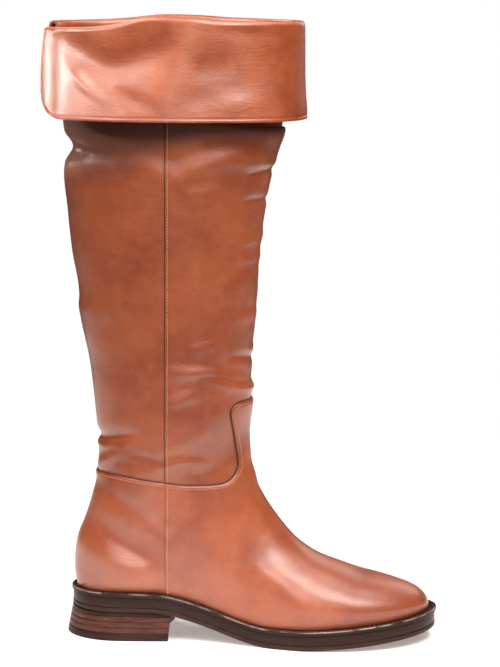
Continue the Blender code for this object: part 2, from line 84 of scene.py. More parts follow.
HEEL_HEIGHT = TOP_PIECE_THICK + LIFT_COUNT * LIFT_THICK + BASE_LIFT_THICK + (LIFT_COUNT + 2) * GAP
BREAST_X = 75.5
BREAST_LEAN = 2.0
BREAST_HOLLOW = 4.0
HEEL_FLARE_BACK = 3.0
HEEL_FLARE_SIDE = 1.2
HEEL_INSET = 0.8

# ---- sizes of the leather, as in the part ----
SHAFT_WALL = (-1.95, -0.15)
UPPER_WALL = (0.15, 1.95)
UPPER_TURN = UPPER_WALL[1]
LAP = 9.0

Foot = namedtuple("Foot", "key front_x front_z bulge half leg power low ridge_y")
FOOT = (
    Foot(5.75, 128.6, 138.0, 0.0, 31.0, 1.00, 0.75, 0.483, 0.0),
    Foot(22.0, 129.6, 129.5, 2.0, 30.6, 1.00, 0.78, 0.434, 0.0),
    Foot(42.0, 132.4, 120.0, 3.0, 30.8, 0.80, 0.86, 0.384, 0.0),
    Foot(65.0, 136.4, 108.0, 3.5, 31.5, 0.35, 0.95, 0.360, 0.5),
    Foot(90.0, 143.6, 96.0, 4.0, 32.0, 0.00, 1.00, 0.350, 1.0),
    Foot(115.0, 153.4, 83.0, 3.5, 32.0, 0.00, 1.00, 0.350, 1.5),
    Foot(140.0, 164.8, 70.4, 2.5, 32.0, 0.00, 1.00, 0.350, 2.0),
    Foot(165.0, 179.2, 59.4, 1.8, 32.0, 0.00, 1.00, 0.340, 2.5),
    Foot(190.0, 197.2, 51.8, 1.5, 32.0, 0.00, 1.00, 0.340, 3.5),
    Foot(215.0, 216.6, 45.4, 1.5, 32.0, 0.00, 1.00, 0.340, 4.5),
    Foot(238.0, 238.4, 43.0, 1.5, 32.0, 0.00, 1.00, 0.360, 5.0),
    Foot(262.0, 262.0, 45.0, 1.5, 32.0, 0.00, 1.00, 0.380, 5.0),
)
TOE_CAP_START = 215.0

Leg = namedtuple("Leg", "key back_x front_x front_z half power low", defaults=(1.0, 0.5))
LEG = (
    Leg(34.8, 6.4, 128.6, 138.0, 31.0, 0.75, 0.483),
    Leg(52.0, 4.8, 128.0, 145.0, 31.6, 0.77, 0.470),
    Leg(72.0, 7.6, 127.8, 152.5, 32.6, 0.80, 0.469),
    Leg(87.0, 11.4, 128.2, 158.5, 33.8, 0.84, 0.478),
    Leg(102.0, 16.6, 129.0, 164.5, 35.2, 0.88, 0.485),
    Leg(116.0, 20.0, 129.7, 170.5, 36.6, 0.92, 0.494),
    Leg(130.0, 19.2, 130.5, 177.5, 37.6, 0.96, 0.500),
    Leg(146.0, 19.0, 131.0, 185.5, 38.4),
    Leg(164.0, 17.6, 131.0, 196.0, 39.2),
    Leg(184.0, 15.4, 131.0, 209.0, 40.0),
    Leg(206.0, 12.2, 131.8, 224.0, 41.0),
    Leg(236.0, 5.8, 133.3, 246.0, 42.6),
    Leg(258.0, 4.6, 134.4, 262.5, 44.0),
    Leg(284.0, 0.0, 135.6, 284.0, 45.6),
    Leg(312.0, -3.2, 138.4, 309.0, 47.0),
    Leg(334.0, -5.6, 141.6, 329.0, 48.1),
    Leg(346.0, -4.6, 143.8, 339.5, 48.5),
    Leg(356.0, 0.4, 146.0, 348.0, 48.9),
    Leg(367.0, -5.2, 148.6, 356.5, 49.3),
    Leg(392.0, -7.6, 153.0, 371.5, 50.0),
    Leg(418.0, -10.6, 156.6, 408.0, 51.2),
    Leg(450.0, -12.0, 159.8, 450.0, 52.6),
)
SHAFT_TOP = 392.0

Seam = namedtuple("Seam", "key z")
SEAM = (
    Seam(18.0, 122.2),
    Seam(38.0, 122.4),
    Seam(55.0, 120.8),
    Seam(70.0, 118.8),
    Seam(84.0, 116.6),
    Seam(102.0, 116.0),
)
TAB_FOOT_Z = 116.2
TAB_LOW_X = 122.2
TAB_HIGH_X = 116.9
TAB_TURN_R = 14.0
TAB_TOP_Z = 176.6
TAB_CORNER_R = 8.0

Rim = namedtuple("Rim", "key outer inner")
RIM = (
    Rim(-20.0, 439.6, 443.8),
    Rim(16.0, 440.8, 444.2),
    Rim(38.0, 443.4, 445.6),
    Rim(57.0, 448.4, 448.0),
    Rim(82.0, 448.8, 448.0),
    Rim(108.0, 446.6, 446.6),
    Rim(170.0, 446.2, 446.2),
)
CUFF_HALF_WALL = 0.8
CUFF_TUCK = -4.0
CUFF_TUCK_SHARE = 0.35
CUFF_FOLD_R = 2.6
CUFF_HEM_Z = 378.5
CUFF_STAND_SIDE = 5.5
CUFF_STAND_ENDS = 13.0
CUFF_FLARE = 4.0
CUFF_FLARE_SPAN = 0.09
CUFF_LEAN = 2.2
CUFF_CORNER_R = 26.0
CUFF_CORNER_SPAN = 0.065
SLIT_INNER = 0.012
SLIT_FOLD = 0.09
SLIT_HEM = 0.22
LEVEL_PASSES = 6

# ---- how finely the leather is worked out ----
LOW_STEPS = 40
HIGH_STEPS = 56
LOW_COLUMNS = 36
HIGH_COLUMNS = 50
ROW_PITCH = 1.8
TOE_ROWS = 26
HEEL_ROWS = 18
HEEL_CAP_START = 38.0
LAP_LEVEL_POINTS = 30
LAP_TURN_POINTS = 14
SHAFT_FIRST_KEY = 79.0
UPPER_TOP_KEY = 136.0
CUFF_INNER_ROWS = 22
CUFF_FOLD_ROWS = 12
CUFF_DROP_ROWS = 46
CUFF_CORNER_COLUMNS = 20
CUFF_COLUMNS = 230
BORDER_STEPS = 900
BORDER_BATCH = 2000
ON_LINE = 0.03

# ---- seams ----
# The side seams run straight up both sides; the front panel's edge lies on the back panel.
SIDE_SEAM_X = 71.0
SEAM_STEP = 0.42
SEAM_STEP_REACH = 9.0
SEAM_GROOVE = 0.3
SEAM_GROOVE_W = 0.5
SEAM_GROOVE_AT = -0.2
SEAM_STEP_RISE = (-0.25, 0.3)
SEAM_FADE = 2.0
SIDE_STITCH = 1.9
LAP_STITCH = 2.2
HEM_STITCH = 2.4
STITCH_SINK = 0.22
STITCH_SINK_W = 0.55
UPPER_STITCH_GAP = 0.8
SHAFT_STITCH_GAP = 0.6
SEAM_LINES = (-1.4, -0.7, -0.25, 0.0, 0.3, 0.8, 1.3, SIDE_STITCH)
LAP_LINES = (0.35, 0.8, 1.4, 3.0, 4.0, LAP_STITCH)
HEM_LINES = (0.5, 1.0, 1.7, 3.2, 4.2, HEM_STITCH)
HEM_BEAD = 0.12
HEM_BEAD_AT = 1.2
HEM_BEAD_W = 0.8
LAP_THIN = 0.8
LAP_THIN_W = 2.6
EDGE_ROUND = 0.9
EDGE_LEFT = 0.35
FAR_OFF = 40.0
SHARP_LEATHER = 55.0
SHARP_SOLE = 40.0

Stitches = namedtuple("Stitches", "pitch length thick")
LEATHER_STITCH = Stitches(2.1, 1.7, 0.62)
WELT_STITCH = Stitches(3.6, 2.9, 0.75)
BEAD_SEGMENTS = 8
BEAD_RINGS = 6


# ---- small tools ----
def ease(value, start, end):
    """Smooth step from 0 at start to 1 at end, for one number or an array."""
    share = np.clip((value - start) / (end - start), 0.0, 1.0)
    return share * share * (3.0 - 2.0 * share)


def bell(value, width):
    """1 at 0, falling off to nothing within about two widths."""
    return np.exp(-(value / width) ** 2)


def smooth(rows, key, column):
    """A table's column at one key or many, on a curve with the mean slope of the neighbours."""
    keys = np.array([row.key for row in rows])
    values = np.array([getattr(row, column) for row in rows])
    slopes = np.empty_like(values)
    slopes[1:-1] = (values[2:] - values[:-2]) / (keys[2:] - keys[:-2])
    slopes[0] = (values[1] - values[0]) / (keys[1] - keys[0])
    slopes[-1] = (values[-1] - values[-2]) / (keys[-1] - keys[-2])
    i = np.clip(np.searchsorted(keys, key, "right") - 1, 0, len(rows) - 2)
    width = keys[i + 1] - keys[i]
    share = (np.clip(key, keys[0], keys[-1]) - keys[i]) / width
    square = share * share
    cube = square * share
    return ((2.0 * cube - 3.0 * square + 1.0) * values[i]
            + (cube - 2.0 * square + share) * slopes[i] * width
            + (3.0 * square - 2.0 * cube) * values[i + 1]
            + (cube - square) * slopes[i + 1] * width)


def row_at(rows, key):
    """A table's row at one key, with every column on its curve."""
    return type(rows[0])(key, *(smooth(rows, key, column) for column in rows[0]._fields[1:]))


def quarter(steps):
    """Angles in even steps over a quarter turn, from 0 up to and with the right angle."""
    return [0.5 * pi * i / steps for i in range(steps + 1)]


def metres(points):
    """Boot points in millimetres as metres from the middle of the heel's underside."""
    return (np.asarray(points, float) - (ORIGIN_X, 0.0, 0.0)) * MM


def resample(points, count):
    """The same path with count even steps."""
    points = np.asarray(points, float)
    steps = np.linalg.norm(np.diff(points, axis=0), axis=1)
    along = np.concatenate(([0.0], np.cumsum(steps)))
    wanted = np.linspace(0.0, along[-1], count + 1)
    return np.stack([np.interp(wanted, along, points[:, k]) for k in range(points.shape[1])], 1)


def curve_through(points, steps):
    """A smooth path through a few points."""
    points = np.asarray(points, float)
    padded = np.vstack((2.0 * points[0] - points[1], points, 2.0 * points[-1] - points[-2]))
    made = []
    for i in range(len(points) - 1):
        a, b, c, d = padded[i:i + 4]
        for t in np.arange(steps) / steps:
            made.append(0.5 * (2.0 * b + (c - a) * t + (2.0 * a - 5.0 * b + 4.0 * c - d) * t ** 2
                               + (3.0 * b - a - 3.0 * c + d) * t ** 3))
    made.append(points[-1])
    return np.array(made)


def path_distance(spots, path):
    """Signed distance of 2-D spots from a path, positive on its left, and the share along it."""
    best = np.full(len(spots), np.inf)
    signed = np.zeros(len(spots))
    share = np.zeros(len(spots))
    count = len(path) - 1
    for i, (a, b) in enumerate(zip(path[:-1], path[1:])):
        run = b - a
        t = np.clip((spots - a) @ run / (run @ run), 0.0, 1.0)
        off = spots - a - t[:, None] * run
        length = np.hypot(off[:, 0], off[:, 1])
        nearer = length < best
        side = np.where(run[0] * off[:, 1] - run[1] * off[:, 0] < 0.0, -1.0, 1.0)
        best[nearer] = length[nearer]
        signed[nearer] = (side * length)[nearer]
        share[nearer] = (i + t[nearer]) / count
    return signed, share


# ---- outline of the sole ----
def sole_side(x, side, inset_back, inset_front):
    """Where the outline lies at x, on the outer (-1) or the inner (+1) side."""
    back = WELT_BACK + inset_back
    tip = WELT_TIP - inset_front
    ball_x = BALL_OUTER_X if side < 0 else BALL_INNER_X
    ball = (BALL_OUTER if side < 0 else BALL_INNER) - inset_front
    waist = (WAIST_OUTER if side < 0 else WAIST_INNER) - 0.5 * (inset_back + inset_front)
    heel = HEEL_HALF - inset_back
    if x <= HEEL_ROUND:
        share = min((HEEL_ROUND - x) / (HEEL_ROUND - back), 1.0)
        return side * heel * sqrt(1.0 - share ** 2)
    if x <= WAIST_X:
        return side * (heel + (waist - heel) * float(ease(x, HEEL_ROUND, WAIST_X)))
    if x <= ball_x:
        return side * (waist + (ball - waist) * float(ease(x, WAIST_X, ball_x)))
    share = min((x - ball_x) / (tip - ball_x), 1.0)
    return TIP_Y + (side * ball - TIP_Y) * sqrt(1.0 - share ** TOE_FULLNESS)


def seat(x):
    """Height of the welt's top: level over the heel, down the arch, flat, then the toe spring."""
    drop = HEEL_HEIGHT * (1.0 - ease(x, ARCH_START, ARCH_END))
    reach = np.maximum(x - SPRING_START, 0.0) / (WELT_TIP - SPRING_START)
    return STACK + drop + TOE_SPRING * reach ** SPRING_CURVE


# ---- skin of the boot ----
def section(back, front, power, low, outer, inner, ridge_y, centre=0.0):
    """One section of the skin with even steps, from its outer lower edge over the front."""
    sides = []
    for side, (edge, widest) in ((-1, outer), (1, inner)):
        ridge = (ridge_y - centre) * side
        edge = edge - centre * side
        widest = widest - centre * side
        start = asin((edge / widest) ** (1.0 / power))
        angle = start + (0.5 * pi - start) * np.arange(LOW_STEPS + 1) / LOW_STEPS
        wall = (widest * np.sin(angle) ** power, low * (1.0 - np.cos(angle) / cos(start)))
        angle = 0.5 * pi * np.arange(HIGH_STEPS + 1) / HIGH_STEPS
        top = (ridge + (widest - ridge) * np.cos(angle), low + (1.0 - low) * np.sin(angle))
        half = []
        for (y, rise), columns in ((wall, LOW_COLUMNS), (top, HIGH_COLUMNS)):
            x = back[0] + (front[0] - back[0]) * rise
            z = back[1] + (front[1] - back[1]) * rise
            half.append(resample(np.stack((x, centre + side * y, z), 1), columns))
        sides.append(np.vstack((half[0][:-1], half[1])))
    return np.vstack((sides[0], sides[1][-2::-1]))


def foot_section(key, cap=1.0):
    """Section that starts on the seat at key; cap falls from 1 to 0 at the very toe."""
    row = row_at(FOOT, key)
    halves = []
    for side in (-1, 1):
        edge = side * sole_side(key, side, FEATHER_BACK + UPPER_TURN, FEATHER_TIP + UPPER_TURN)
        foot = edge + row.bulge * cap
        halves.append((edge, foot + (row.half - foot) * row.leg))
    base = seat(key) + GAP
    front = (key + (row.front_x - key) * cap, base + (row.front_z - base) * cap)
    return section((key, base), front, row.power, row.low, *halves, row.ridge_y, TIP_Y * (1.0 - cap))


def leg_section(key):
    """Section that starts on the back seam at the height key."""
    row = row_at(LEG, key)
    return section((row.back_x, key), (row.front_x, row.front_z), row.power, row.low,
                   (0.0, row.half), (0.0, row.half), 0.0)


def toe_rows():
    """Rows of the skin over the round of the toe, from the tip."""
    tip = WELT_TIP - FEATHER_TIP - UPPER_TURN
    columns = 2 * (LOW_COLUMNS + HIGH_COLUMNS) + 1
    rows = [np.tile((tip, TIP_Y, seat(tip) + GAP), (columns, 1))]
    for angle in quarter(TOE_ROWS)[-2:0:-1]:
        rows.append(foot_section(TOE_CAP_START + (tip - TOE_CAP_START) * sin(angle), cos(angle)))
    return rows


def foot_rows(first):
    """Rows from the first key back over the waist and round the heel's seat."""
    count = round((first - HEEL_CAP_START) / ROW_PITCH)
    rows = [foot_section(key) for key in np.linspace(first, HEEL_CAP_START, count + 1)[:-1]]
    reach = HEEL_CAP_START - WELT_BACK - FEATHER_BACK - UPPER_TURN
    return rows + [foot_section(HEEL_CAP_START - reach * sin(turn)) for turn in quarter(HEEL_ROWS)]


def leg_rows(last):
    """Rows from the heel's seat up the leg."""
    first = float(seat(WELT_BACK)) + GAP + ROW_PITCH
    count = round((last - first) / ROW_PITCH)
    return [leg_section(key) for key in np.linspace(first, last, count + 1)]


def skin(rows):
    """Open skin from rows with the same number of points, welded where they meet."""
    columns = len(rows[0])
    tool = bmesh.new()
    verts = [tool.verts.new(spot) for spot in np.vstack(rows)]
    for k in range(len(rows) - 1):
        for i in range(columns - 1):
            a = k * columns + i
            b = a + columns
            tool.faces.new((verts[a], verts[a + 1], verts[b + 1], verts[b]))
    bmesh.ops.remove_doubles(tool, verts=tool.verts, dist=WELD)
    tool.normal_update()
    return tool


def spots_of(tool):
    """The vertices' places, as an array in millimetres."""
    tool.verts.index_update()
    return np.array([vert.co for vert in tool.verts])


def normals_of(tool):
    """The vertices' outward directions, as an array."""
    tool.normal_update()
    return np.array([vert.normal for vert in tool.verts])


def score(tool, field, level):
    """Draw the line where a field of the place crosses a level into the skin's edges."""
    values = field(spots_of(tool)) - level
    on_line = set(np.nonzero(np.abs(values) < ON_LINE)[0].tolist())
    marked = {vert for vert in tool.verts if vert.index in on_line}
    crossed = []
    for edge in tool.edges:
        a, b = edge.verts
        if values[a.index] * values[b.index] < 0.0 and a not in marked and b not in marked:
            crossed.append((edge, a, values[a.index] / (values[a.index] - values[b.index])))
    for edge, start, share in crossed:
        marked.add(bmesh.utils.edge_split(edge, start, share)[1])
    for face in {face for vert in marked for face in vert.link_faces}:
        ends = [vert for vert in face.verts if vert in marked]
        if len(ends) == 2 and not any(ends[1] in edge.verts for edge in ends[0].link_edges):
            bmesh.utils.face_split(face, ends[0], ends[1])


def score_all(tool, field, levels):
    """Score one line for each level."""
    for level in levels:
        score(tool, field, level)


def trim(tool, field):
    """Keep the part of the skin where a field of the place isn't negative."""
    score(tool, field, 0.0)
    values = field(spots_of(tool))
    lost = [vert for vert in tool.verts if values[vert.index] < -ON_LINE]
    bmesh.ops.delete(tool, geom=lost, context="VERTS")
    loose = [vert for vert in tool.verts if not vert.link_faces]
    bmesh.ops.delete(tool, geom=loose, context="VERTS")
    spots_of(tool)


def line_edges(tool, field, level, kept=True):
    """The skin's edges on a scored line, as pairs of vertex numbers, where kept is true."""
    near = (np.abs(field(spots_of(tool)) - level) < 2.0 * ON_LINE) & kept
    return [(edge.verts[0].index, edge.verts[1].index) for edge in tool.edges
            if near[edge.verts[0].index] and near[edge.verts[1].index]]


# ---- fields that the seams follow ----
def lap_line():
    """The foot part's upper edge, seen from the side: level, then up the tab and over it."""
    x = np.linspace(SEAM[0].key, SEAM[-1].key, LAP_LEVEL_POINTS)
    level = np.stack((x, smooth(SEAM, x, "z")), 1)
    angle = np.linspace(0.0, 0.5 * pi, LAP_TURN_POINTS)
    out = 1.0 - np.sin(angle)
    up = 1.0 - np.cos(angle)
    turn = np.stack((TAB_LOW_X - TAB_TURN_R * out, TAB_FOOT_Z + TAB_TURN_R * up), 1)
    corner = np.stack((TAB_HIGH_X + TAB_CORNER_R * up, TAB_TOP_Z - TAB_CORNER_R * out), 1)
    return np.vstack(([(-FAR_OFF, SEAM[0].z)], level, turn, corner, [(5.0 * FAR_OFF, TAB_TOP_Z)]))


def below_lap(spots):
    """Distance below the lap's edge, seen from the side."""
    return -path_distance(spots[:, [0, 2]], lap_line())[0]


def above_lap_foot(spots):
    """Height above the shaft's hidden lower edge."""
    x = np.clip(spots[:, 0], SEAM[0].key, SEAM[-1].key)
    return spots[:, 2] - smooth(SEAM, x, "z") + LAP


def shaft_top(forward):
    """Height of the shaft's top edge, which slopes down; forward is 0 at the back, 1 in front."""
    return SHAFT_TOP + (smooth(LEG, SHAFT_TOP, "front_z") - SHAFT_TOP) * forward


def below_shaft_top(spots):
    """Distance below the shaft's top edge."""
    back_x = smooth(LEG, SHAFT_TOP, "back_x")
    forward = (spots[:, 0] - back_x) / (smooth(LEG, SHAFT_TOP, "front_x") - back_x)
    return shaft_top(np.clip(forward, 0.0, 1.0)) - spots[:, 2]


def past_side_seam(spots):
    """Distance in front of the side seams."""
    return spots[:, 0] - SIDE_SEAM_X


# ---- folds ----
# Each fold is placed seen from the side: side is -1 for the outer, 1 for the inner and
# 0 for both; height raises (or sinks) the leather; ledge raises what is under the path and sinks
# what is over it.
Fold = namedtuple("Fold", "side path width height ledge")
SHAFT_FOLDS = (
    Fold(0, ((-16, 364), (0, 360), (10, 357), (18, 356)), 4.5, -0.9, 0.0),
    Fold(-1, ((38, 364), (56, 354), (72, 345), (86, 342)), 9.0, 0.6, 0.9),
    Fold(-1, ((72, 344), (88, 348), (104, 354), (122, 358), (142, 359)), 9.0, 0.6, 1.2),
    Fold(-1, ((84, 330), (96, 332), (110, 335)), 5.0, 0.25, 0.4),
    Fold(0, ((126, 338), (134, 340), (142, 341), (160, 341)), 3.4, -1.5, 0.6),
    Fold(0, ((126, 346), (138, 346), (158, 349)), 4.0, 0.5, 0.0),
    Fold(0, ((122, 318), (130, 320), (138, 320), (158, 318)), 3.4, -1.1, 0.6),
    Fold(-1, ((120, 292), (130, 296), (138, 299), (152, 304)), 5.0, 0.35, 0.4),
    Fold(-1, ((114, 281), (124, 282), (136, 283), (150, 284)), 5.0, 0.2, 0.4),
    Fold(-1, ((106, 269), (118, 271), (130, 272), (150, 268)), 6.0, -0.35, 0.2),
    Fold(-1, ((112, 242), (124, 240), (148, 245)), 5.0, 0.3, 0.3),
    Fold(-1, ((86, 219), (98, 221), (112, 225)), 4.6, 0.35, 0.5),
    Fold(0, ((116, 210), (126, 208), (136, 205), (152, 205)), 3.2, -1.0, 0.4),
    Fold(-1, ((68, 203), (86, 203), (104, 201), (122, 193), (150, 182)), 5.5, 1.0, 1.0),
    Fold(-1, ((92, 197), (108, 195), (122, 190), (150, 184)), 3.2, -1.3, 0.6),
    Fold(-1, ((70, 179), (82, 184), (96, 190)), 6.0, 0.5, 0.8),
    Fold(-1, ((78, 170), (94, 173), (108, 176), (124, 177)), 7.0, -0.4, 0.2),
    Fold(-1, ((66, 133), (76, 135), (90, 136), (104, 132)), 5.0, 0.6, 0.8),
    Fold(-1, ((80, 127), (96, 126), (110, 128)), 5.0, -0.4, 0.0),
    Fold(-1, ((20, 236), (36, 250), (54, 267), (70, 282)), 9.0, 0.3, 0.3),
    Fold(0, ((-14, 246), (8, 245), (22, 250)), 6.0, 0.3, 0.3),
    Fold(-1, ((14, 222), (34, 228), (52, 238)), 9.0, -0.3, 0.2),
    Fold(-1, ((14, 318), (36, 311), (58, 318)), 12.0, -0.4, 0.2),
    Fold(-1, ((12, 146), (24, 146), (36, 149), (52, 152)), 4.6, -1.4, 1.3),
    Fold(-1, ((6, 116), (16, 122), (28, 135), (40, 143)), 4.2, 0.8, 0.6),
    Fold(-1, ((30, 130), (46, 128), (66, 129)), 5.0, 0.4, 0.3),
    Fold(-1, ((46, 138), (60, 135), (74, 131)), 3.0, -0.5, 0.4),
    Fold(0, ((0, 132), (14, 134), (26, 139)), 5.0, -0.6, 0.3),
    Fold(1, ((20, 352), (50, 346), (90, 354), (130, 356)), 9.0, 0.5, 0.9),
    Fold(1, ((14, 300), (46, 306), (80, 296), (120, 300)), 10.0, 0.4, 0.5),
    Fold(1, ((60, 262), (84, 256), (110, 262), (140, 258)), 7.0, -0.6, 0.5),
    Fold(1, ((70, 214), (92, 219), (112, 214), (140, 216)), 5.0, 0.7, 0.8),
    Fold(1, ((76, 200), (96, 201), (118, 192), (140, 186)), 4.6, 0.7, 0.9),
    Fold(1, ((22, 186), (46, 180), (66, 184)), 7.0, -0.4, 0.4),
    Fold(1, ((10, 146), (30, 147), (52, 150)), 4.6, -1.0, 0.9),
    Fold(1, ((60, 134), (80, 137), (104, 132)), 4.6, 0.6, 0.8),
)
FOOT_FOLDS = (
    Fold(-1, ((20, 112), (31, 106.5), (45, 100), (58, 89.5), (68, 79.5), (80, 70)), 6.2, -1.3, 0.3),
    Fold(-1, ((2, 80), (22, 74), (38, 65), (53, 58), (74, 53)), 15.0, 0.7, 2.5),
    Fold(-1, ((-4, 42), (20, 41), (44, 40), (76, 39)), 15.0, 1.2, 0.0),
    Fold(-1, ((30, 98), (42, 93), (56, 83)), 7.0, 0.3, 0.2),
    Fold(-1, ((72, 92), (86, 90), (100, 86)), 5.0, 0.2, 0.3),
    Fold(-1, ((80, 83), (92, 84), (106, 89)), 5.0, 0.2, 0.2),
    Fold(-1, ((68, 92), (80, 84), (98, 75)), 6.5, -0.35, 0.2),
    Fold(-1, ((128, 106), (126, 92), (122, 78)), 5.0, 0.25, -0.1),
    Fold(-1, ((139, 104), (143, 88), (156, 72), (174, 62)), 9.0, -0.35, 0.0),
    Fold(-1, ((138, 62), (154, 55), (172, 48)), 12.0, 0.9, 0.9),
    Fold(-1, ((183, 36), (186, 43), (190, 52)), 11.0, -0.25, 0.0),
    Fold(1, ((26, 108), (44, 100), (62, 86), (82, 76)), 5.0, -1.0, 1.0),
    Fold(1, ((72, 92), (92, 86), (118, 90)), 5.0, 0.5, 0.5),
    Fold(0, ((112, 104), (132, 108), (152, 118)), 6.0, -0.3, 0.2),
)
CUFF_FOLDS = (
    Fold(-1, ((-24, 432), (-4, 432), (8, 425), (18, 418), (30, 413), (46, 416), (60, 424), (76, 437)),
         11.0, -3.0, 0.5),
    Fold(-1, ((86, 450), (88, 434), (83, 418), (74, 404), (60, 392)), 12.0, 2.0, 0.0),
    Fold(-1, ((6, 413), (14, 406), (23, 398), (36, 389)), 4.6, 1.0, 0.6),
    Fold(-1, ((4, 402), (14, 396), (26, 390), (38, 383)), 6.0, -0.4, 0.1),
    Fold(-1, ((36, 401), (44, 395), (53, 388), (62, 381)), 6.0, -1.6, 0.4),
    Fold(-1, ((82, 429), (94, 421), (106, 419), (118, 425)), 10.0, -0.7, -0.4),
    Fold(-1, ((80, 400), (94, 397), (108, 399), (124, 404)), 9.0, -0.4, -0.2),
    Fold(-1, ((94, 446), (118, 438), (138, 437), (158, 441)), 8.0, -0.8, 0.4),
    Fold(-1, ((100, 390), (118, 394), (140, 392)), 9.0, 0.6, 0.3),
    Fold(0, ((156, 446), (163, 424), (166, 404), (168, 386)), 5.5, -1.0, 0.0),
    Fold(1, ((10, 428), (40, 418), (76, 424), (104, 434)), 9.0, -2.2, 0.8),
    Fold(1, ((30, 396), (62, 404), (96, 396), (130, 402)), 8.0, 1.2, 0.8),
    Fold(1, ((110, 420), (128, 414), (150, 418)), 7.0, -1.0, 0.5),
)
# Painted shadow on the shaft: darker under the cuff's overhang, furthest down at the back, and in
# a thin line of painted shade beside the foot part's edge.
CUFF_SHADOW_FOOT = 324.0
CUFF_SHADOW_RISE = 40.0
CUFF_SHADOW_TURN = (30.0, 100.0)
CUFF_SHADOW_TOP = 374.0
LAP_SHADE = (0.2, 0.9)
# The seam field is 0 on a dark line: how fast it rises beside the line and how faint it starts. Along
# the side seams it is a dark seam line; along the foot part's edge it is painted shade.
# The edge field is 0 on a rubbed edge, and the lap's edge is only a little rubbed.
FOOT_LINE_RISE = 1.8
FOOT_LINE_FAINT = 0.22
LAP_SHADE_LINE_RISE = 0.6
LAP_RUB_INSET = 0.7
# The cuff's near and far sides swell out towards the hem, most of all behind the side seams.
SWELL_BACK = 18.0
SWELL_FRONT = 11.0
SWELL_TOP = 432.0
SWELL_FOOT = 350.0
SWELL_SIDE = (4.0, 34.0)
SWELL_TURN = (40.0, 120.0)
# The part of the cuff that hangs outside faces away from the leg's middle. Folds calm at its hem.
CUFF_MIDDLE = (74.0, 0.0)
CUFF_FACING = (0.1, 0.7)
CUFF_STITCHED = 0.3
CUFF_WAVES = 0.8
HEM_CALM = 0.25
HEM_CALM_W = 16.0
# How the folds and the leather's slow unevenness are laid on, and where they fade out over the
# sole and under the shaft's top.
SOLE_CALM = (-1.0, 9.0)
TOP_CALM = (-8.0, 12.0)
WAVE_STRETCH = 1.5
FOLD_STEPS = 8
FOLD_END = 0.75
WRAP = 16.0
LEDGE_PEAK = 2.33


def fold_heights(spots, folds):
    """How far the folds raise each spot, in millimetres."""
    heights = np.zeros(len(spots))
    flat = spots[:, [0, 2]]
    for fold in folds:
        path = curve_through(fold.path, FOLD_STEPS)
        off, share = path_distance(flat, path)
        off = off / fold.width
        taper = np.sin(pi * np.clip(share, 0.0, 1.0)) ** FOLD_END
        on_side = ease(fold.side * spots[:, 1], -WRAP, 0.0) if fold.side else 1.0
        shape = bell(off, 1.0)
        heights += on_side * taper * (fold.height - fold.ledge * LEDGE_PEAK * off) * shape
    return heights


Waves = namedtuple("Waves", "length height")
LEATHER_WAVES = (Waves(60.0, 0.45), Waves(22.0, 0.16), Waves(9.0, 0.06))


def wave_heights(spots, stretch=1.0):
    """Slow unevenness of hand-lasted leather; stretch lengthens the waves round the leg."""
    heights = np.zeros(len(spots))
    for wave in LEATHER_WAVES:
        scaled = spots / wave.length * (1.0 / stretch, 1.0 / stretch, 1.0)
        heights += wave.height * np.array([noise.noise(Vector(spot)) for spot in scaled])
    return heights


def leather_heights(spots):
    """What raises the upper and the shaft alike, fading out at the sole and inside the cuff."""
    heights = fold_heights(spots, SHAFT_FOLDS + FOOT_FOLDS) + wave_heights(spots, WAVE_STRETCH)
    heights *= ease(spots[:, 2] - seat(spots[:, 0]), *SOLE_CALM)
    return heights * ease(below_shaft_top(spots), *TOP_CALM)


def side_seam_heights(spots):
    """The front panel's edge lies on the back panel and is stitched down."""
    ahead = past_side_seam(spots)
    step = SEAM_STEP * ease(ahead, *SEAM_STEP_RISE) * (1.0 - ease(ahead, 0.0, SEAM_STEP_REACH))
    groove = SEAM_GROOVE * bell(ahead - SEAM_GROOVE_AT, SEAM_GROOVE_W)
    return step - groove - STITCH_SINK * bell(ahead - SIDE_STITCH, STITCH_SINK_W)


# ---- walls ----
def make_object(name, data):
    """Link one object for a mesh, a camera or a light."""
    made = bpy.data.objects.new(name, data)
    bpy.context.scene.collection.objects.link(made)
    return made


def make_mesh(name, spots, edges, faces, *finishes):
    """A mesh from points in metres."""
    mesh = bpy.data.meshes.new(name)
    mesh.from_pydata(spots.tolist(), edges, faces)
    for finish in finishes:
        mesh.materials.append(finish)
    return mesh


def shade_smooth(mesh, sharp):
    """Smooth shading, but for edges that turn by more than sharp degrees."""
    mesh.polygons.foreach_set("use_smooth", np.ones(len(mesh.polygons), bool))
    mesh.set_sharp_from_angle(angle=radians(sharp))


def write_field(mesh, name, values):
    """Store one number for each vertex."""
    mesh.attributes.new(name, "FLOAT", "POINT").data.foreach_set("value", values.astype(np.float32))


def leather_wall(name, tool, heights, inner, outer, fields, finishes):
    """Raise a skin and give it a wall between two offsets, rounded in at its free edges.

    fields holds numbers for each vertex of the skin. finishes are the outside's and the inside's.
    """
    spots = spots_of(tool)
    raised = spots + normals_of(tool) * heights[:, None]
    for vert, spot in zip(tool.verts, raised):
        vert.co = spot
    normals = normals_of(tool)
    layers = np.vstack((raised + normals * outer[:, None], raised + normals * inner[:, None]))
    layers[:, 2] = np.maximum(layers[:, 2], seat(layers[:, 0]) + GAP)
    count = len(spots)
    faces = [[vert.index for vert in face.verts] for face in tool.faces]
    rim = []
    for corner in [edge.link_loops[0] for edge in tool.edges if edge.is_boundary]:
        a = corner.vert.index
        b = corner.link_loop_next.vert.index
        rim.append((b, a, a + count, b + count))
    inside = [[i + count for i in reversed(face)] for face in faces]
    mesh = make_mesh(name, metres(layers), [], faces + rim + inside, *finishes)
    kinds = np.zeros(len(mesh.polygons), int)
    kinds[len(faces) + len(rim):] = 1
    mesh.polygons.foreach_set("material_index", kinds)
    shade_smooth(mesh, SHARP_LEATHER)
    for field, values in fields.items():
        write_field(mesh, field, np.concatenate((values, values)))
    mesh.update()
    tool.free()
    return make_object(name, mesh), raised + normals * outer[:, None]


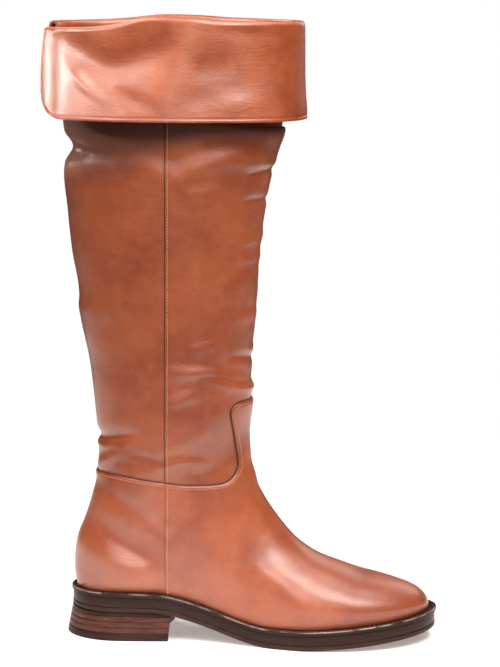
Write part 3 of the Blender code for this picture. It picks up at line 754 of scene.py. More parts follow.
def thinned(near_edge, wall):
    """Inner and outer offsets that close in on each other in a round at a free edge."""
    middle = 0.5 * (wall[0] + wall[1])
    half = 0.5 * (wall[1] - wall[0])
    share = np.clip(near_edge / EDGE_ROUND, 0.0, 1.0)
    round_in = EDGE_LEFT + (1.0 - EDGE_LEFT) * np.sqrt(1.0 - (1.0 - share) ** 2)
    return middle - half * round_in, middle + half * round_in


# ---- stitches ----
def stitch_tree():
    """Geometry nodes that lay a row of stitches along the edges of a mesh."""
    tree = bpy.data.node_groups.new("stitch_row", "GeometryNodeTree")
    face = tree.interface
    face.new_socket("Path", in_out="INPUT", socket_type="NodeSocketGeometry")
    for name in ("Pitch", "Length", "Thickness"):
        face.new_socket(name, in_out="INPUT", socket_type="NodeSocketFloat")
    face.new_socket("Thread", in_out="INPUT", socket_type="NodeSocketMaterial")
    face.new_socket("Stitches", in_out="OUTPUT", socket_type="NodeSocketGeometry")

    def node(kind, settings=(), **links):
        made = tree.nodes.new(kind)
        for key, value in settings:
            setattr(made, key, value)
        for socket, source in links.items():
            wanted = made.inputs[socket.replace("_", " ")]
            if isinstance(source, bpy.types.NodeSocket):
                tree.links.new(source, wanted)
            else:
                wanted.default_value = source
        return made.outputs[0]

    given = tree.nodes.new("NodeGroupInput").outputs
    line = node("GeometryNodeMeshToCurve", Mesh=given["Path"])
    row = node("GeometryNodeResampleCurve", (("mode", "LENGTH"),), Curve=line, Length=given["Pitch"])
    bead = node("GeometryNodeMeshUVSphere", Segments=BEAD_SEGMENTS, Rings=BEAD_RINGS, Radius=0.5)
    bead = node("GeometryNodeSetShadeSmooth", Geometry=bead)
    size = node("ShaderNodeCombineXYZ", X=given["Length"], Y=given["Thickness"], Z=given["Thickness"])
    turn = node("FunctionNodeAlignRotationToVector", (("axis", "X"),),
                Vector=node("GeometryNodeInputTangent"))
    laid = node("GeometryNodeInstanceOnPoints", Points=row, Instance=bead, Rotation=turn, Scale=size)
    real = node("GeometryNodeRealizeInstances", Geometry=laid)
    finished = node("GeometryNodeSetMaterial", Geometry=real, Material=given["Thread"])
    tree.links.new(finished, tree.nodes.new("NodeGroupOutput").inputs[0])
    return tree


def stitch_rows(name, tree, spots, edges, kind, thread):
    """One mesh of all the stitches along some edges."""
    used = sorted({i for edge in edges for i in edge})
    number = {old: new for new, old in enumerate(used)}
    edges = [(number[a], number[b]) for a, b in edges]
    path = make_object(name + "_path", make_mesh(name + "_path", metres(spots[used]), edges, []))
    rows = path.modifiers.new("rows", "NODES")
    rows.node_group = tree
    given = {"Pitch": kind.pitch * MM, "Length": kind.length * MM, "Thickness": kind.thick * MM,
             "Thread": thread}
    for item in tree.interface.items_tree:
        if item.in_out == "INPUT" and item.name in given:
            rows[item.identifier] = given[item.name]
    bpy.context.view_layer.update()
    laid = path.evaluated_get(bpy.context.evaluated_depsgraph_get())
    made = make_object(name, bpy.data.meshes.new_from_object(laid))
    bpy.data.objects.remove(path)
    return made


# ---- leather pieces ----
def build_upper(finishes):
    """Foot part with its tab up the shin; gives the piece and its stitch lines."""
    tool = skin(toe_rows() + foot_rows(TOE_CAP_START) + leg_rows(UPPER_TOP_KEY))
    trim(tool, below_lap)
    score_all(tool, below_lap, LAP_LINES)
    score_all(tool, past_side_seam, SEAM_LINES)
    spots = spots_of(tool)
    lap = below_lap(spots)
    heights = leather_heights(spots)
    inner, outer = thinned(lap, UPPER_WALL)
    outer = outer - LAP_THIN * (1.0 - ease(lap, 0.0, LAP_THIN_W))
    outer = outer - STITCH_SINK * bell(lap - LAP_STITCH, STITCH_SINK_W) + side_seam_heights(spots)
    lines = line_edges(tool, below_lap, LAP_STITCH)
    lines += line_edges(tool, past_side_seam, SIDE_STITCH, lap > LAP_STITCH + UPPER_STITCH_GAP)
    # Dark line of the seam field: a dark seam line at the side seams and painted shade along the foot
    # part's edge.
    line = FOOT_LINE_RISE * np.abs(past_side_seam(spots)) + FOOT_LINE_FAINT
    fields = {"seam": np.minimum(line, LAP_SHADE_LINE_RISE * lap),
              "edge": np.minimum(lap + LAP_RUB_INSET, FAR_OFF), "fold": heights}
    return *leather_wall("upper_leather", tool, heights, inner, outer, fields, finishes), lines


def build_shaft(finishes):
    """Leg tube from under the lap to its top edge inside the cuff."""
    tool = skin(foot_rows(SHAFT_FIRST_KEY) + leg_rows(SHAFT_TOP))
    trim(tool, above_lap_foot)
    score_all(tool, past_side_seam, SEAM_LINES)
    spots = spots_of(tool)
    heights = leather_heights(spots)
    lap = below_lap(spots)
    inner, outer = thinned(np.maximum(below_shaft_top(spots), 0.0), SHAFT_WALL)
    lines = line_edges(tool, past_side_seam, SIDE_STITCH, lap < -SHAFT_STITCH_GAP)
    # Painted shadow: darker under the cuff's hem and in a thin line beside the foot part's edge.
    cuff_shadow_foot = CUFF_SHADOW_FOOT + CUFF_SHADOW_RISE * ease(spots[:, 0], *CUFF_SHADOW_TURN)
    cuff_shadow = ease(spots[:, 2], cuff_shadow_foot, CUFF_SHADOW_TOP)
    fields = {"seam": past_side_seam(spots), "edge": np.clip(-lap, 0.0, FAR_OFF), "fold": heights,
              "painted_shadow": np.maximum(cuff_shadow, 1.0 - ease(-lap, *LAP_SHADE))}
    outer = outer + side_seam_heights(spots) * ease(-lap, 0.0, SEAM_FADE)
    return *leather_wall("shaft_leather", tool, heights, inner, outer, fields, finishes), lines


def leg_point(turn, z, stand):
    """A point standing off the leg's skin: turn is 0 at the back and pi at the front."""
    rise = 0.5 - 0.5 * cos(turn)
    key = z
    for _ in range(LEVEL_PASSES):
        key = z - (smooth(LEG, key, "front_z") - key) * rise
    back = smooth(LEG, key, "back_x")
    reach = 0.5 * (smooth(LEG, key, "front_x") - back)
    half = smooth(LEG, key, "half")
    normal = Vector((-cos(turn) / reach, -sin(turn) / half)).normalized()
    return (back + reach * (1.0 - cos(turn)) + normal.x * stand,
            -half * sin(turn) + normal.y * stand, z)


def cuff_shares():
    """Shares of the way round the cuff, closer together where the hem's corners are round."""
    corner = [CUFF_CORNER_SPAN * (1.0 - cos(turn)) for turn in quarter(CUFF_CORNER_COLUMNS)[:-1]]
    middle = [CUFF_CORNER_SPAN + (1.0 - 2.0 * CUFF_CORNER_SPAN) * i / CUFF_COLUMNS
              for i in range(CUFF_COLUMNS + 1)]
    return corner + middle + [1.0 - share for share in reversed(corner)]


def cuff_column(share):
    """The cuff's middle line at one place: up inside the leg, over the fold, down to the hem."""
    def turn(slit):
        return slit + (2.0 * pi - 2.0 * slit) * share

    from_end = min(share, 1.0 - share)
    rise = 0.5 - 0.5 * cos(turn(SLIT_FOLD))
    fold_x = leg_point(turn(SLIT_FOLD), CUFF_HEM_Z, 0.0)[0]
    fold_z = smooth(RIM, fold_x, "outer" if share < 0.5 else "inner") - CUFF_FOLD_R
    start_z = shaft_top(rise) - LAP
    near_slit = max(1.0 - from_end / CUFF_FLARE_SPAN, 0.0) ** 2
    lean = CUFF_LEAN * near_slit if share < 0.5 else 0.0
    column = []
    for i in range(CUFF_INNER_ROWS):
        part = i / CUFF_INNER_ROWS
        z = start_z + (fold_z - start_z) * part
        stand = CUFF_TUCK * (1.0 - float(ease(part, CUFF_TUCK_SHARE, 1.0))) + lean * part ** 2
        column.append(leg_point(turn(SLIT_INNER + (SLIT_FOLD - SLIT_INNER) * part ** 2), z, stand))
    for i in range(CUFF_FOLD_ROWS):
        angle = pi * i / CUFF_FOLD_ROWS
        column.append(leg_point(turn(SLIT_FOLD), fold_z + CUFF_FOLD_R * sin(angle),
                                lean + CUFF_FOLD_R * (1.0 - cos(angle))))
    corner = max(1.0 - from_end / CUFF_CORNER_SPAN, 0.0)
    hem_z = CUFF_HEM_Z + CUFF_CORNER_R * (1.0 - sqrt(1.0 - corner ** 2))
    fold_stand = 2.0 * CUFF_FOLD_R + lean
    hem_stand = (CUFF_STAND_SIDE + (CUFF_STAND_ENDS - CUFF_STAND_SIDE) * (2.0 * rise - 1.0) ** 2
                 + CUFF_FLARE * near_slit)
    for i in range(CUFF_DROP_ROWS + 1):
        part = i / CUFF_DROP_ROWS
        z = fold_z + (hem_z - fold_z) * part
        fall = (fold_z - z) / (fold_z - CUFF_HEM_Z)
        stand = fold_stand + (hem_stand - fold_stand) * fall
        column.append(leg_point(turn(SLIT_FOLD + (SLIT_HEM - SLIT_FOLD) * fall), z, stand))
    return column


def build_cuff(finishes):
    """Turn-down leather, open in a slit down the back; the slit and the hem's front are stitched."""
    columns = [np.array(cuff_column(share)) for share in cuff_shares()]
    first = CUFF_INNER_ROWS + CUFF_FOLD_ROWS // 2
    border = np.vstack((columns[0][first:], [column[-1] for column in columns[1:-1]],
                        columns[-1][:first:-1]))
    border = resample(border, BORDER_STEPS)

    def from_hem(spots):
        near = np.empty(len(spots))
        for start in range(0, len(spots), BORDER_BATCH):
            batch = slice(start, start + BORDER_BATCH)
            away = spots[batch, None, :] - border[None, :, :]
            near[batch] = np.sqrt((away ** 2).sum(2)).min(1)
        return near

    tool = skin(columns)
    score_all(tool, from_hem, HEM_LINES)
    spots = spots_of(tool)
    outward = normals_of(tool)
    away = spots[:, :2] - CUFF_MIDDLE
    facing = (outward[:, :2] * away).sum(1) / np.linalg.norm(away, axis=1)
    drop = ease(facing, *CUFF_FACING)
    hem = from_hem(spots)
    swell = SWELL_BACK + (SWELL_FRONT - SWELL_BACK) * ease(spots[:, 0], *SWELL_TURN)
    swell = swell * (1.0 - ease(spots[:, 2], SWELL_FOOT, SWELL_TOP))
    swell = swell * ease(np.abs(spots[:, 1]), *SWELL_SIDE)
    for vert, push in zip(tool.verts, drop * swell * np.sign(spots[:, 1])):
        vert.co.y += push
    heights = fold_heights(spots, CUFF_FOLDS) + CUFF_WAVES * wave_heights(spots)
    heights = drop * heights * (HEM_CALM + (1.0 - HEM_CALM) * ease(hem, 0.0, HEM_CALM_W))
    inner, outer = thinned(hem, (-CUFF_HALF_WALL, CUFF_HALF_WALL))
    outer = (outer - STITCH_SINK * bell(hem - HEM_STITCH, STITCH_SINK_W)
             + HEM_BEAD * bell(hem - HEM_BEAD_AT, HEM_BEAD_W))
    # The line is looked for after the swell, so it is found down the slit and at the hem's front.
    lines = line_edges(tool, from_hem, HEM_STITCH, drop > CUFF_STITCHED)
    fields = {"seam": np.full(len(spots), FAR_OFF), "edge": np.minimum(hem, FAR_OFF),
              "fold": heights}
    return *leather_wall("cuff_leather", tool, heights, inner, outer, fields, finishes), lines


# ---- sole and heel ----
SOLE_HEEL_STEPS = 30
SOLE_WAIST_STEPS = 70
SOLE_TOE_STEPS = 44
ROUND_STEPS = 4
# Radii of each layer's upper and lower edge, and how far it lies in from the welt's outline.
WELT_ROUNDS = (0.9, 0.4)
MIDSOLE_INSET = 1.0
MIDSOLE_ROUNDS = (0.3, 0.3)
OUTSOLE_INSET = 0.8
OUTSOLE_ROUNDS = (0.3, 0.9)
WELT_STITCH_INSET = 2.1
WELT_STITCH_LIFT = 0.1


def sole_loop(inset_back, inset_front):
    """Outline points from the heel along the outer side to the toe and back."""
    back = WELT_BACK + inset_back
    tip = WELT_TIP - inset_front
    heel = [HEEL_ROUND - (HEEL_ROUND - back) * cos(turn) for turn in quarter(SOLE_HEEL_STEPS)[:-1]]
    waist = list(np.linspace(HEEL_ROUND, BALL_OUTER_X, SOLE_WAIST_STEPS + 1))[:-1]
    toe = [BALL_OUTER_X + (tip - BALL_OUTER_X) * sin(turn) for turn in quarter(SOLE_TOE_STEPS)]
    stations = heel + waist + toe
    outer = [(x, sole_side(x, -1, inset_back, inset_front)) for x in stations]
    inner = [(x, sole_side(x, 1, inset_back, inset_front)) for x in stations[1:-1]]
    return outer + inner[::-1]


def round_edge(inset, top, bottom, top_r, bottom_r, steps=ROUND_STEPS):
    """Rings of (inset, depth) up an edge with a round at its foot and at its top."""
    foot = [(inset + bottom_r * (1.0 - sin(turn)), bottom - bottom_r * (1.0 - cos(turn)))
            for turn in quarter(steps)]
    head = [(inset + top_r * (1.0 - cos(turn)), top + top_r * (1.0 - sin(turn)))
            for turn in quarter(steps)]
    return foot + head


def join_rings(tool, rings, closed=False):
    """Quads between each ring and the next, and from the last back to the first if closed."""
    pairs = list(zip(rings, rings[1:]))
    if closed:
        pairs.append((rings[-1], rings[0]))
    for low, high in pairs:
        for i in range(len(low)):
            j = (i + 1) % len(low)
            tool.faces.new((low[i], low[j], high[j], high[i]))


def cap_across(tool, ring, flip):
    """Fill a ring with strips that run straight across the foot."""
    count = len(ring)
    for i in range(count // 2):
        strip = (ring[i], ring[i + 1], ring[count - i - 1], ring[-i])
        corners = [vert for k, vert in enumerate(strip) if vert not in strip[:k]]
        tool.faces.new(corners[::-1] if flip else corners)


def finish_solid(name, tool, finish):
    """One smooth-shaded object from a closed bmesh in millimetres."""
    for vert in tool.verts:
        vert.co = metres(vert.co)
    bmesh.ops.recalc_face_normals(tool, faces=tool.faces)
    mesh = bpy.data.meshes.new(name)
    tool.to_mesh(mesh)
    tool.free()
    mesh.materials.append(finish)
    shade_smooth(mesh, SHARP_SOLE)
    return make_object(name, mesh)


def sole_layer(name, finish, rings, hollow=False):
    """A layer of the sole from rings of (inset, depth under the seat), bottom ring first."""
    tool = bmesh.new()
    made = [[tool.verts.new((x, y, float(seat(x)) - depth)) for x, y in sole_loop(inset, inset)]
            for inset, depth in rings]
    join_rings(tool, made, closed=hollow)
    if not hollow:
        cap_across(tool, made[0], flip=True)
        cap_across(tool, made[-1], flip=False)
    return finish_solid(name, tool, finish)


HEEL_ARC_STEPS = 30
HEEL_SIDE_STEPS = 10
BREAST_STEPS = 20
LIFT_ROUND = 0.35
LIFT_ROUND_STEPS = 3
LIFT_FOOT = 1.0


def heel_loop(share, inset):
    """Outline of the heel at a share of its height, 0 at the floor, with its hollow breast."""
    grow_back = HEEL_FLARE_BACK * (1.0 - share) - HEEL_INSET * share - inset
    grow_side = HEEL_FLARE_SIDE * (1.0 - share) - HEEL_INSET * share - inset
    reach = HEEL_ROUND - WELT_BACK + grow_back
    half = [(HEEL_ROUND - reach * cos(turn), (HEEL_HALF + grow_side) * sin(turn))
            for turn in quarter(HEEL_ARC_STEPS)]
    breast_x = BREAST_X - BREAST_LEAN * (1.0 - share) - inset
    for i in range(1, HEEL_SIDE_STEPS + 1):
        x = HEEL_ROUND + (breast_x - HEEL_ROUND) * i / HEEL_SIDE_STEPS
        half.append((x, sole_side(x, 1, 0.0, 0.0) + grow_side))
    end_half = half[-1][1]
    breast = []
    for i in range(1, BREAST_STEPS):
        y = end_half * (2.0 * i / BREAST_STEPS - 1.0)
        breast.append((breast_x - BREAST_HOLLOW * (1.0 - (y / end_half) ** 2), y))
    return [(x, -y) for x, y in half] + breast + half[:0:-1]


def heel_layer(name, finish, low, high, under_sole):
    """One layer of the heel with rounded edges; the top one follows the outsole's underside."""
    tool = bmesh.new()
    rings = []
    for inset, depth in round_edge(0.0, -high, -low, LIFT_ROUND, LIFT_ROUND, LIFT_ROUND_STEPS):
        z = -depth
        fitted = under_sole and z > low + LIFT_FOOT
        rings.append([])
        for x, y in heel_loop(z / HEEL_HEIGHT, inset):
            limit = float(seat(x)) - STACK - GAP - (high - z) if fitted else z
            rings[-1].append(tool.verts.new((x, y, min(z, limit))))
    join_rings(tool, rings)
    tool.faces.new(rings[0][::-1])
    tool.faces.new(rings[-1])
    return finish_solid(name, tool, finish)


# ---- finishes ----
class Wire:
    """An output socket of a finish, on which Python's operators add Math nodes."""

    def __init__(self, finish, socket):
        self.finish = finish
        self.socket = socket

    def math(self, operation, *values):
        return self.finish.add("ShaderNodeMath", {"operation": operation}, dict(enumerate(values)))

    def __add__(self, other):
        return self.math("ADD", self, other)

    __radd__ = __add__

    def __sub__(self, other):
        return self.math("SUBTRACT", self, other)

    def __rsub__(self, other):
        return self.math("SUBTRACT", other, self)

    def __mul__(self, other):
        return self.math("MULTIPLY", self, other)

    __rmul__ = __mul__

    def __abs__(self):
        return self.math("ABSOLUTE", self)


class Finish:
    """One material on a Principled shader; add() makes every other node."""

    def __init__(self, name, **constants):
        self.material = bpy.data.materials.new(name)
        self.material.use_nodes = True
        self.tree = self.material.node_tree
        self.shader = self.tree.nodes["Principled BSDF"]
        for socket, value in constants.items():
            self.shader.inputs[socket.replace("_", " ")].default_value = value

    def feed(self, target, value):
        if isinstance(value, Wire):
            self.tree.links.new(value.socket, target)
        else:
            target.default_value = value

    def add(self, kind, settings=None, values=None, output=0):
        """A node: its settings are set first, then its sockets' values and links."""
        node = self.tree.nodes.new(kind)
        for key, value in (settings or {}).items():
            setattr(node, key, value)
        for key, value in (values or {}).items():
            self.feed(node.inputs[key], value)
        return Wire(self, node.outputs[output])

    def spot(self, stretch=(1.0, 1.0, 1.0)):
        """Object coordinates in metres, stretched along the axes."""
        spot = self.add("ShaderNodeTexCoord", output=3)
        if stretch == (1.0, 1.0, 1.0):
            return spot
        return self.add("ShaderNodeMapping", None, {"Vector": spot, "Scale": stretch})

    def noise(self, spot, size, detail=2.0, roughness=0.5, distortion=0.0):
        """Noise whose features are about size millimetres across."""
        return self.add("ShaderNodeTexNoise", None, {
            "Vector": spot, "Scale": 1.0 / (size * MM), "Detail": detail, "Roughness": roughness,
            "Distortion": distortion})

    def cells(self, spot, size):
        """Distance from the borders of cells about size millimetres across."""
        return self.add("ShaderNodeTexVoronoi", {"feature": "DISTANCE_TO_EDGE"}, {
            "Vector": spot, "Scale": 1.0 / (size * MM)})

    def field(self, name):
        """A number stored on the mesh."""
        return self.add("ShaderNodeAttribute", {"attribute_name": name}, output=2)

    def between(self, value, start, end):
        """0 at start to 1 at end, smoothly."""
        return self.add("ShaderNodeMapRange", {"interpolation_type": "SMOOTHSTEP"}, {
            "Value": value, "From Min": start, "From Max": end})

    def mix(self, share, first, second):
        """Two colours mixed."""
        first = first if isinstance(first, Wire) else (*first, 1.0)
        second = second if isinstance(second, Wire) else (*second, 1.0)
        return self.add("ShaderNodeMix", {"data_type": "RGBA"},
                        {0: share, 6: first, 7: second}, output=2)

    def over(self, colour, *layers):
        """A colour under layers of (share, colour)."""
        for share, layer in layers:
            colour = self.mix(share, colour, layer)
        return colour

    def bumps(self, *layers):
        """Bumps over one another, each of (height from 0 to 1, depth in millimetres, strength)."""
        under = {}
        for height, depth, strength in layers:
            values = {"Height": height, "Distance": depth * MM, "Strength": strength}
            under = {"Normal": self.add("ShaderNodeBump", None, {**values, **under})}
        return under["Normal"]

    def done(self, **links):
        """Link what varies over the surface and give the material."""
        for socket, value in links.items():
            self.feed(self.shader.inputs[socket.replace("_", " ")], value)
        return self.material


TAN = (0.345, 0.074, 0.022)
TAN_DEEP = (0.260, 0.047, 0.013)
TAN_PALE = (0.440, 0.130, 0.056)
TAN_DARK = (0.070, 0.014, 0.006)
THREAD = (0.60, 0.29, 0.17)
LINING = (0.50, 0.30, 0.17)
LINING_DARK = (0.36, 0.20, 0.11)
EDGE_BROWN = (0.020, 0.008, 0.006)
EDGE_WARM = (0.034, 0.013, 0.010)
EDGE_GLINT = (0.42, 0.30, 0.26)
LIFT_RED = (0.056, 0.016, 0.012)
LIFT_PALE = (0.135, 0.046, 0.034)
RUBBER = (0.040, 0.018, 0.014)
TREAD = (0.055, 0.022, 0.014)
BOARD = (0.42, 0.25, 0.14)


def tan_leather():
    """Smooth waxed calf: clouded colour, fine grain, dark seams, pale rubbed edges, and painted shade
    in creases, under the cuff and at the foot part's edge.
    """
    finish = Finish("tan_leather_finish", Coat_Roughness=0.32, Specular_IOR_Level=0.5)
    spot = finish.spot()
    clouds = finish.noise(spot, 46.0, 3.0, 0.55)
    mottle = finish.noise(spot, 9.0, 3.0, 0.6)
    fold = finish.field("fold")
    painted_shadow = finish.field("painted_shadow")
    line = 1.0 - finish.between(abs(finish.field("seam") + 0.2), 0.15, 0.7)
    rubbed = 1.0 - finish.between(finish.field("edge"), 0.2, 1.3)
    colour = finish.over(
        finish.mix(finish.between(clouds, 0.38, 0.62), TAN_DEEP, TAN),
        (finish.between(mottle, 0.4, 0.8) * 0.30, TAN_PALE),
        # Ridges pale as stretched pull-up leather does; the darker troughs are painted shade in the
        # creases.
        (finish.between(fold, 0.2, 1.8) * 0.28, TAN_PALE),
        (finish.between(fold, -0.2, -1.8) * 0.45, TAN_DEEP),
        # Painted shadow under the cuff and beside the foot part's edge, then the dark lines of the seam
        # field, which along the foot part's edge are painted shade.
        (painted_shadow * 0.88, TAN_DARK),
        (line * 0.85, TAN_DARK),
        (rubbed * 0.1, TAN_PALE))
    grain = finish.between(finish.cells(spot, 1.15), 0.0, 0.35)
    pores = finish.noise(spot, 0.55, 2.0, 0.6)
    creases = finish.noise(finish.spot((0.55, 0.55, 1.25)), 2.6, 4.0, 0.62, 0.4)
    streaks = finish.noise(finish.spot((0.3, 0.3, 1.0)), 6.0, 4.0, 0.6, 0.6)
    normal = finish.bumps((grain, 0.11, 0.6), (pores, 0.05, 0.5), (creases, 0.26, 0.6),
                          (streaks, 0.62, 0.6))
    roughness = 0.38 + 0.10 * clouds + 0.10 * (mottle - 0.5) + 0.2 * line + 0.25 * painted_shadow
    coat = (0.75 + 0.25 * (1.0 - mottle)) * (1.0 - 0.5 * line) * (1.0 - 0.9 * painted_shadow)
    return finish.done(Base_Color=colour, Roughness=roughness, Normal=normal, Coat_Weight=coat)


def lining_leather():
    """Pale unfinished lining."""
    finish = Finish("lining_finish")
    spot = finish.spot()
    colour = finish.mix(finish.between(finish.noise(spot, 14.0, 4.0), 0.35, 0.7), LINING_DARK, LINING)
    normal = finish.bumps((finish.noise(spot, 0.7, 3.0), 0.08, 0.6))
    return finish.done(Base_Color=colour, Roughness=0.62 + 0.1 * finish.noise(spot, 5.0), Normal=normal)


def thread():
    """Twisted thread, lighter than the leather."""
    finish = Finish("thread_finish", Roughness=0.55)
    spot = finish.spot()
    colour = finish.mix(finish.noise(spot, 1.2, 1.0) * 0.5, THREAD, TAN_PALE)
    normal = finish.bumps((finish.noise(spot, 0.25, 1.0), 0.05, 0.6))
    return finish.done(Base_Color=colour, Normal=normal)


def waxed_thread():
    """Dark waxed thread on the welt."""
    finish = Finish("waxed_thread_finish", Roughness=0.28, Coat_Weight=0.4, Coat_Roughness=0.2)
    colour = finish.mix(finish.noise(finish.spot(), 2.0, 1.0), EDGE_WARM, LIFT_PALE)
    return finish.done(Base_Color=colour)


def edge_finish(name, colour, warm, streak, roughness):
    """Inked and polished leather edge: streaks of its layers run round it, and its rim has a glossier
    coat and a painted glint.
    """
    finish = Finish(name, Coat_Roughness=0.18, Specular_IOR_Level=0.12)
    spot = finish.spot()
    layers = finish.noise(finish.spot((0.06, 0.06, 1.0)), streak, 4.0, 0.65)
    spots = finish.noise(spot, 3.0, 4.0, 0.7)
    # Painted glint: a patchy pale line along the rim, on top of its glossier coat.
    rim = finish.field("rim") * finish.between(finish.noise(spot, 14.0, 3.0), 0.4, 0.62)
    shade = finish.over(colour, (finish.between(layers, 0.35, 0.72), warm),
                        (finish.between(spots, 0.55, 0.85) * 0.5, warm), (rim * 0.65, EDGE_GLINT))
    normal = finish.bumps((layers, 0.10, 0.5), (finish.noise(spot, 0.5, 3.0), 0.05, 0.4))
    return finish.done(Base_Color=shade, Roughness=roughness + 0.14 * spots, Normal=normal,
                       Coat_Weight=0.06 + 0.1 * layers + 0.8 * rim)


def board():
    """Insole board with a soft nap."""
    finish = Finish("insole_board_finish")
    spot = finish.spot()
    colour = finish.mix(finish.noise(spot, 8.0, 4.0), BOARD, LINING_DARK)
    normal = finish.bumps((finish.noise(spot, 0.6, 3.0), 0.08, 0.7))
    return finish.done(Base_Color=colour, Roughness=0.7 + 0.1 * finish.noise(spot, 4.0), Normal=normal)


# ---- studio ----
CAMERA_SPOT = Vector((0.178, -1.605, 0.489))
CAMERA_AIM = Vector((-0.0516, 0.9853, -0.1632))
CAMERA_ROLL = 0.7
CAMERA_LENS = 122.0
CAMERA_SENSOR = 36.0

BOOT_MIDDLE = (0.05, 0.0, 0.25)
WIDE = 180.0
Softbox = namedtuple("Softbox", "name spot width height watts aim spread", defaults=(BOOT_MIDDLE, WIDE))
SOFTBOXES = (
    Softbox("key_softbox", (0.50, -0.69, 1.25), 0.8, 0.5, 15.0),
    Softbox("right_softbox", (0.64, -0.84, 1.05), 0.5, 0.5, 4.5),
    Softbox("top_left_softbox", (-0.44, -0.28, 1.42), 0.5, 0.5, 12.0),
    Softbox("front_left_softbox", (-0.54, -0.84, 1.05), 0.5, 0.5, 4.0),
    Softbox("low_softbox", (0.20, -1.26, 0.52), 0.5, 0.5, 1.8),
    Softbox("cuff_grid", (-0.80, -0.50, 0.80), 0.5, 0.12, 0.065, (0.0, -0.03, 0.42), 7.0),
    Softbox("cuff_side_grid", (-0.93, -0.14, 0.72), 0.5, 0.12, 0.10, (-0.02, -0.03, 0.42), 7.0),
    Softbox("cuff_rim_grid", (-0.92, 0.45, 0.52), 0.5, 0.14, 0.045, (-0.04, -0.03, 0.41), 8.0),
    Softbox("heel_grid", (0.03, -1.23, 0.27), 0.1, 0.1, 0.009, (0.02, -0.03, 0.06), 3.8),
    Softbox("vamp_grid", (-0.03, -0.97, 0.66), 0.1, 0.1, 0.009, (0.12, -0.03, 0.05), 4.6),
    Softbox("top_right_softbox", (0.54, -0.28, 1.42), 0.5, 0.5, 3.0),
    Softbox("back_right_softbox", (0.54, 0.28, 1.42), 0.5, 0.5, 4.0),
    Softbox("back_left_softbox", (-0.41, 0.80, 1.17), 0.5, 0.5, 3.0),
    Softbox("back_softbox", (0.66, 1.06, 0.69), 0.5, 0.5, 1.5),
)
LIGHT_WARMTH = (1.0, 0.955, 0.90)
WORLD_LIGHT = 0.04
WHITE = (1.0, 1.0, 1.0, 1.0)
FLOOR_COLOUR = (0.90, 0.89, 0.88, 1.0)
FLOOR_GLOW_COLOUR = (1.0, 0.87, 0.84, 1.0)
FLOOR_GLOW = 0.34
FLOOR_REACH = (0.68, 0.52)
FLOOR_MIDDLE = (0.06, 0.22)
FLOOR_SIDES = 96


def build_camera():
    """The camera at the eye's place, rolled a little."""
    aim = CAMERA_AIM.normalized()
    right = aim.cross(Vector((0.0, 0.0, 1.0))).normalized()
    up = right.cross(aim)
    turn = radians(CAMERA_ROLL)
    right, up = right * cos(turn) + up * sin(turn), up * cos(turn) - right * sin(turn)
    lens = bpy.data.cameras.new("camera")
    lens.sensor_width = CAMERA_SENSOR
    lens.lens = CAMERA_LENS
    made = make_object("camera", lens)
    facing = Matrix((right, up, -aim)).transposed().to_4x4()
    made.matrix_world = Matrix.Translation(CAMERA_SPOT) @ facing
    bpy.context.scene.camera = made


def build_lights():
    """Softboxes over, beside and behind the boot."""
    for box in SOFTBOXES:
        light = bpy.data.lights.new(box.name, "AREA")
        light.shape = "RECTANGLE"
        light.size = box.width
        light.size_y = box.height
        light.energy = box.watts
        light.spread = radians(box.spread)
        light.color = LIGHT_WARMTH
        made = make_object(box.name, light)
        made.location = box.spot
        aim = Vector(box.aim) - Vector(box.spot)
        made.rotation_euler = aim.to_track_quat("-Z", "Y").to_euler()


def build_studio():
    """Pale floor and white surroundings, which light the boot less than they show."""
    finish = Finish("floor_finish", Base_Color=FLOOR_COLOUR, Roughness=0.9,
                    Emission_Color=FLOOR_GLOW_COLOUR, Emission_Strength=FLOOR_GLOW)
    turns = np.linspace(0.0, 2.0 * pi, FLOOR_SIDES, endpoint=False)
    spots = np.stack((FLOOR_MIDDLE[0] + FLOOR_REACH[0] * np.cos(turns),
                      FLOOR_MIDDLE[1] + FLOOR_REACH[1] * np.sin(turns), 0.0 * turns), 1)
    floor = make_mesh("floor", spots, [], [tuple(range(FLOOR_SIDES))], finish.done())
    make_object("floor", floor)
    world = bpy.data.worlds.new("studio")
    world.use_nodes = True
    tree = world.node_tree
    shade = tree.nodes["Background"]
    shown = tree.nodes.new("ShaderNodeBackground")
    for made, strength in ((shade, WORLD_LIGHT), (shown, 1.0)):
        made.inputs["Color"].default_value = WHITE
        made.inputs["Strength"].default_value = strength
    pick = tree.nodes.new("ShaderNodeMixShader")
    tree.links.new(tree.nodes.new("ShaderNodeLightPath").outputs["Is Camera Ray"], pick.inputs[0])
    tree.links.new(shade.outputs[0], pick.inputs[1])
    tree.links.new(shown.outputs[0], pick.inputs[2])
    tree.links.new(pick.outputs[0], tree.nodes["World Output"].inputs["Surface"])
    bpy.context.scene.world = world
    bpy.context.scene.view_settings.view_transform = "Standard"


# ---- assembly ----
def stand_for(piece, slot, *nodes):
    """A piece rides on the boot's one body and stands for CAD nodes; slot is not used."""
    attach(piece, ROOT)
    if nodes:
        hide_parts(*nodes)


def build_leather(thread_finish, tree):
    """Upper, shaft and cuff with all their stitches."""
    finishes = (tan_leather(), lining_leather())
    spots = []
    edges = []
    count = 0
    for build, node in ((build_upper, "upper"), (build_shaft, "shaft"), (build_cuff, "cuff")):
        both = finishes if node != "cuff" else (finishes[0], finishes[0])
        piece, surface, lines = build(both)
        stand_for(piece, "tan_leather", node)
        spots.append(surface)
        edges += [(a + count, b + count) for a, b in lines]
        count += len(surface)
    rows = stitch_rows("leather_stitches", tree, np.vstack(spots), edges, LEATHER_STITCH,
                       thread_finish)
    stand_for(rows, "tan_leather")


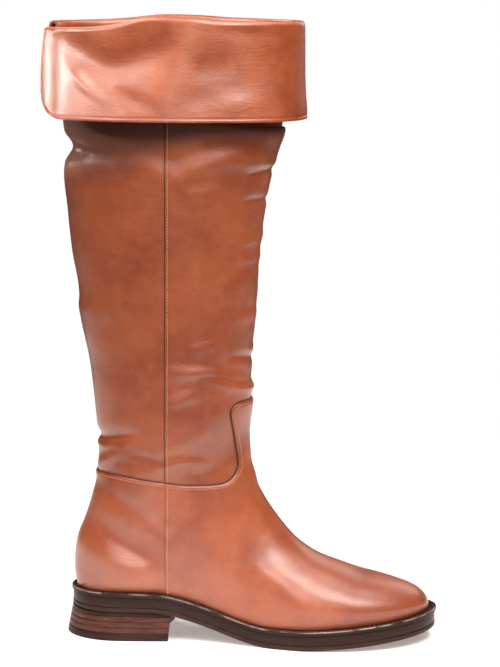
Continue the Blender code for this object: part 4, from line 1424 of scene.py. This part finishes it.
def build_sole(tree):
    """Welt, midsole, outsole and stacked heel with polished edges."""
    edge = edge_finish("sole_edge_finish", EDGE_BROWN, EDGE_WARM, 1.4, 0.30)
    tread = edge_finish("tread_finish", EDGE_WARM, TREAD, 2.0, 0.45)
    lifts = edge_finish("stacked_leather_finish", LIFT_RED, LIFT_PALE, 0.9, 0.36)
    rubber = edge_finish("heel_rubber_finish", EDGE_BROWN, RUBBER, 1.5, 0.42)
    deep = WELT_THICK + GAP
    under = deep + MIDSOLE_THICK + GAP
    rings = round_edge(0.0, 0.0, WELT_THICK, *WELT_ROUNDS)
    rings += [(WELT_WIDTH, 0.0), (WELT_WIDTH, WELT_THICK)]
    welt = sole_layer("welt_polished", edge, rings, hollow=True)
    stand_for(welt, "sole_edge_leather", "welt")
    # The rim field marks the welt's upper outer round: it gets a glossier coat and a painted glint.
    rim = np.zeros((len(rings), len(welt.data.vertices) // len(rings)))
    rim[ROUND_STEPS + 2:2 * ROUND_STEPS + 1] = 1.0
    write_field(welt.data, "rim", rim.ravel())
    rings = round_edge(MIDSOLE_INSET, deep, under - GAP, *MIDSOLE_ROUNDS)
    stand_for(sole_layer("midsole_polished", edge, rings), "sole_edge_leather", "midsole")
    rings = round_edge(OUTSOLE_INSET, under, STACK, *OUTSOLE_ROUNDS)
    stand_for(sole_layer("outsole_polished", tread, rings), "sole_edge_leather", "outsole")
    layers = [("heel_top_rubber", rubber, TOP_PIECE_THICK, "heel_rubber", "heel_top_piece")]
    layers += [("heel_lift_stack_%d" % number, lifts, LIFT_THICK, "stacked_leather",
                "heel_lift_%d" % number) for number in range(1, LIFT_COUNT + 1)]
    layers += [("heel_base_polished", edge, BASE_LIFT_THICK, "sole_edge_leather", "heel_base_lift")]
    z = 0.0
    for name, finish, thick, slot, node in layers:
        stand_for(heel_layer(name, finish, z, z + thick, node == "heel_base_lift"), slot, node)
        z += thick + GAP
    loop = np.array([(x, y, float(seat(x)) + WELT_STITCH_LIFT)
                     for x, y in sole_loop(WELT_STITCH_INSET, WELT_STITCH_INSET)])
    edges = [(i, (i + 1) % len(loop)) for i in range(len(loop))]
    rows = stitch_rows("welt_stitches", tree, loop, edges, WELT_STITCH, waxed_thread())
    stand_for(rows, "sole_edge_leather")


build_camera()
build_lights()
build_studio()
STITCHES = stitch_tree()
build_leather(thread(), STITCHES)
build_sole(STITCHES)
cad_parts["insole"].data.materials.clear()
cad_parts["insole"].data.materials.append(board())
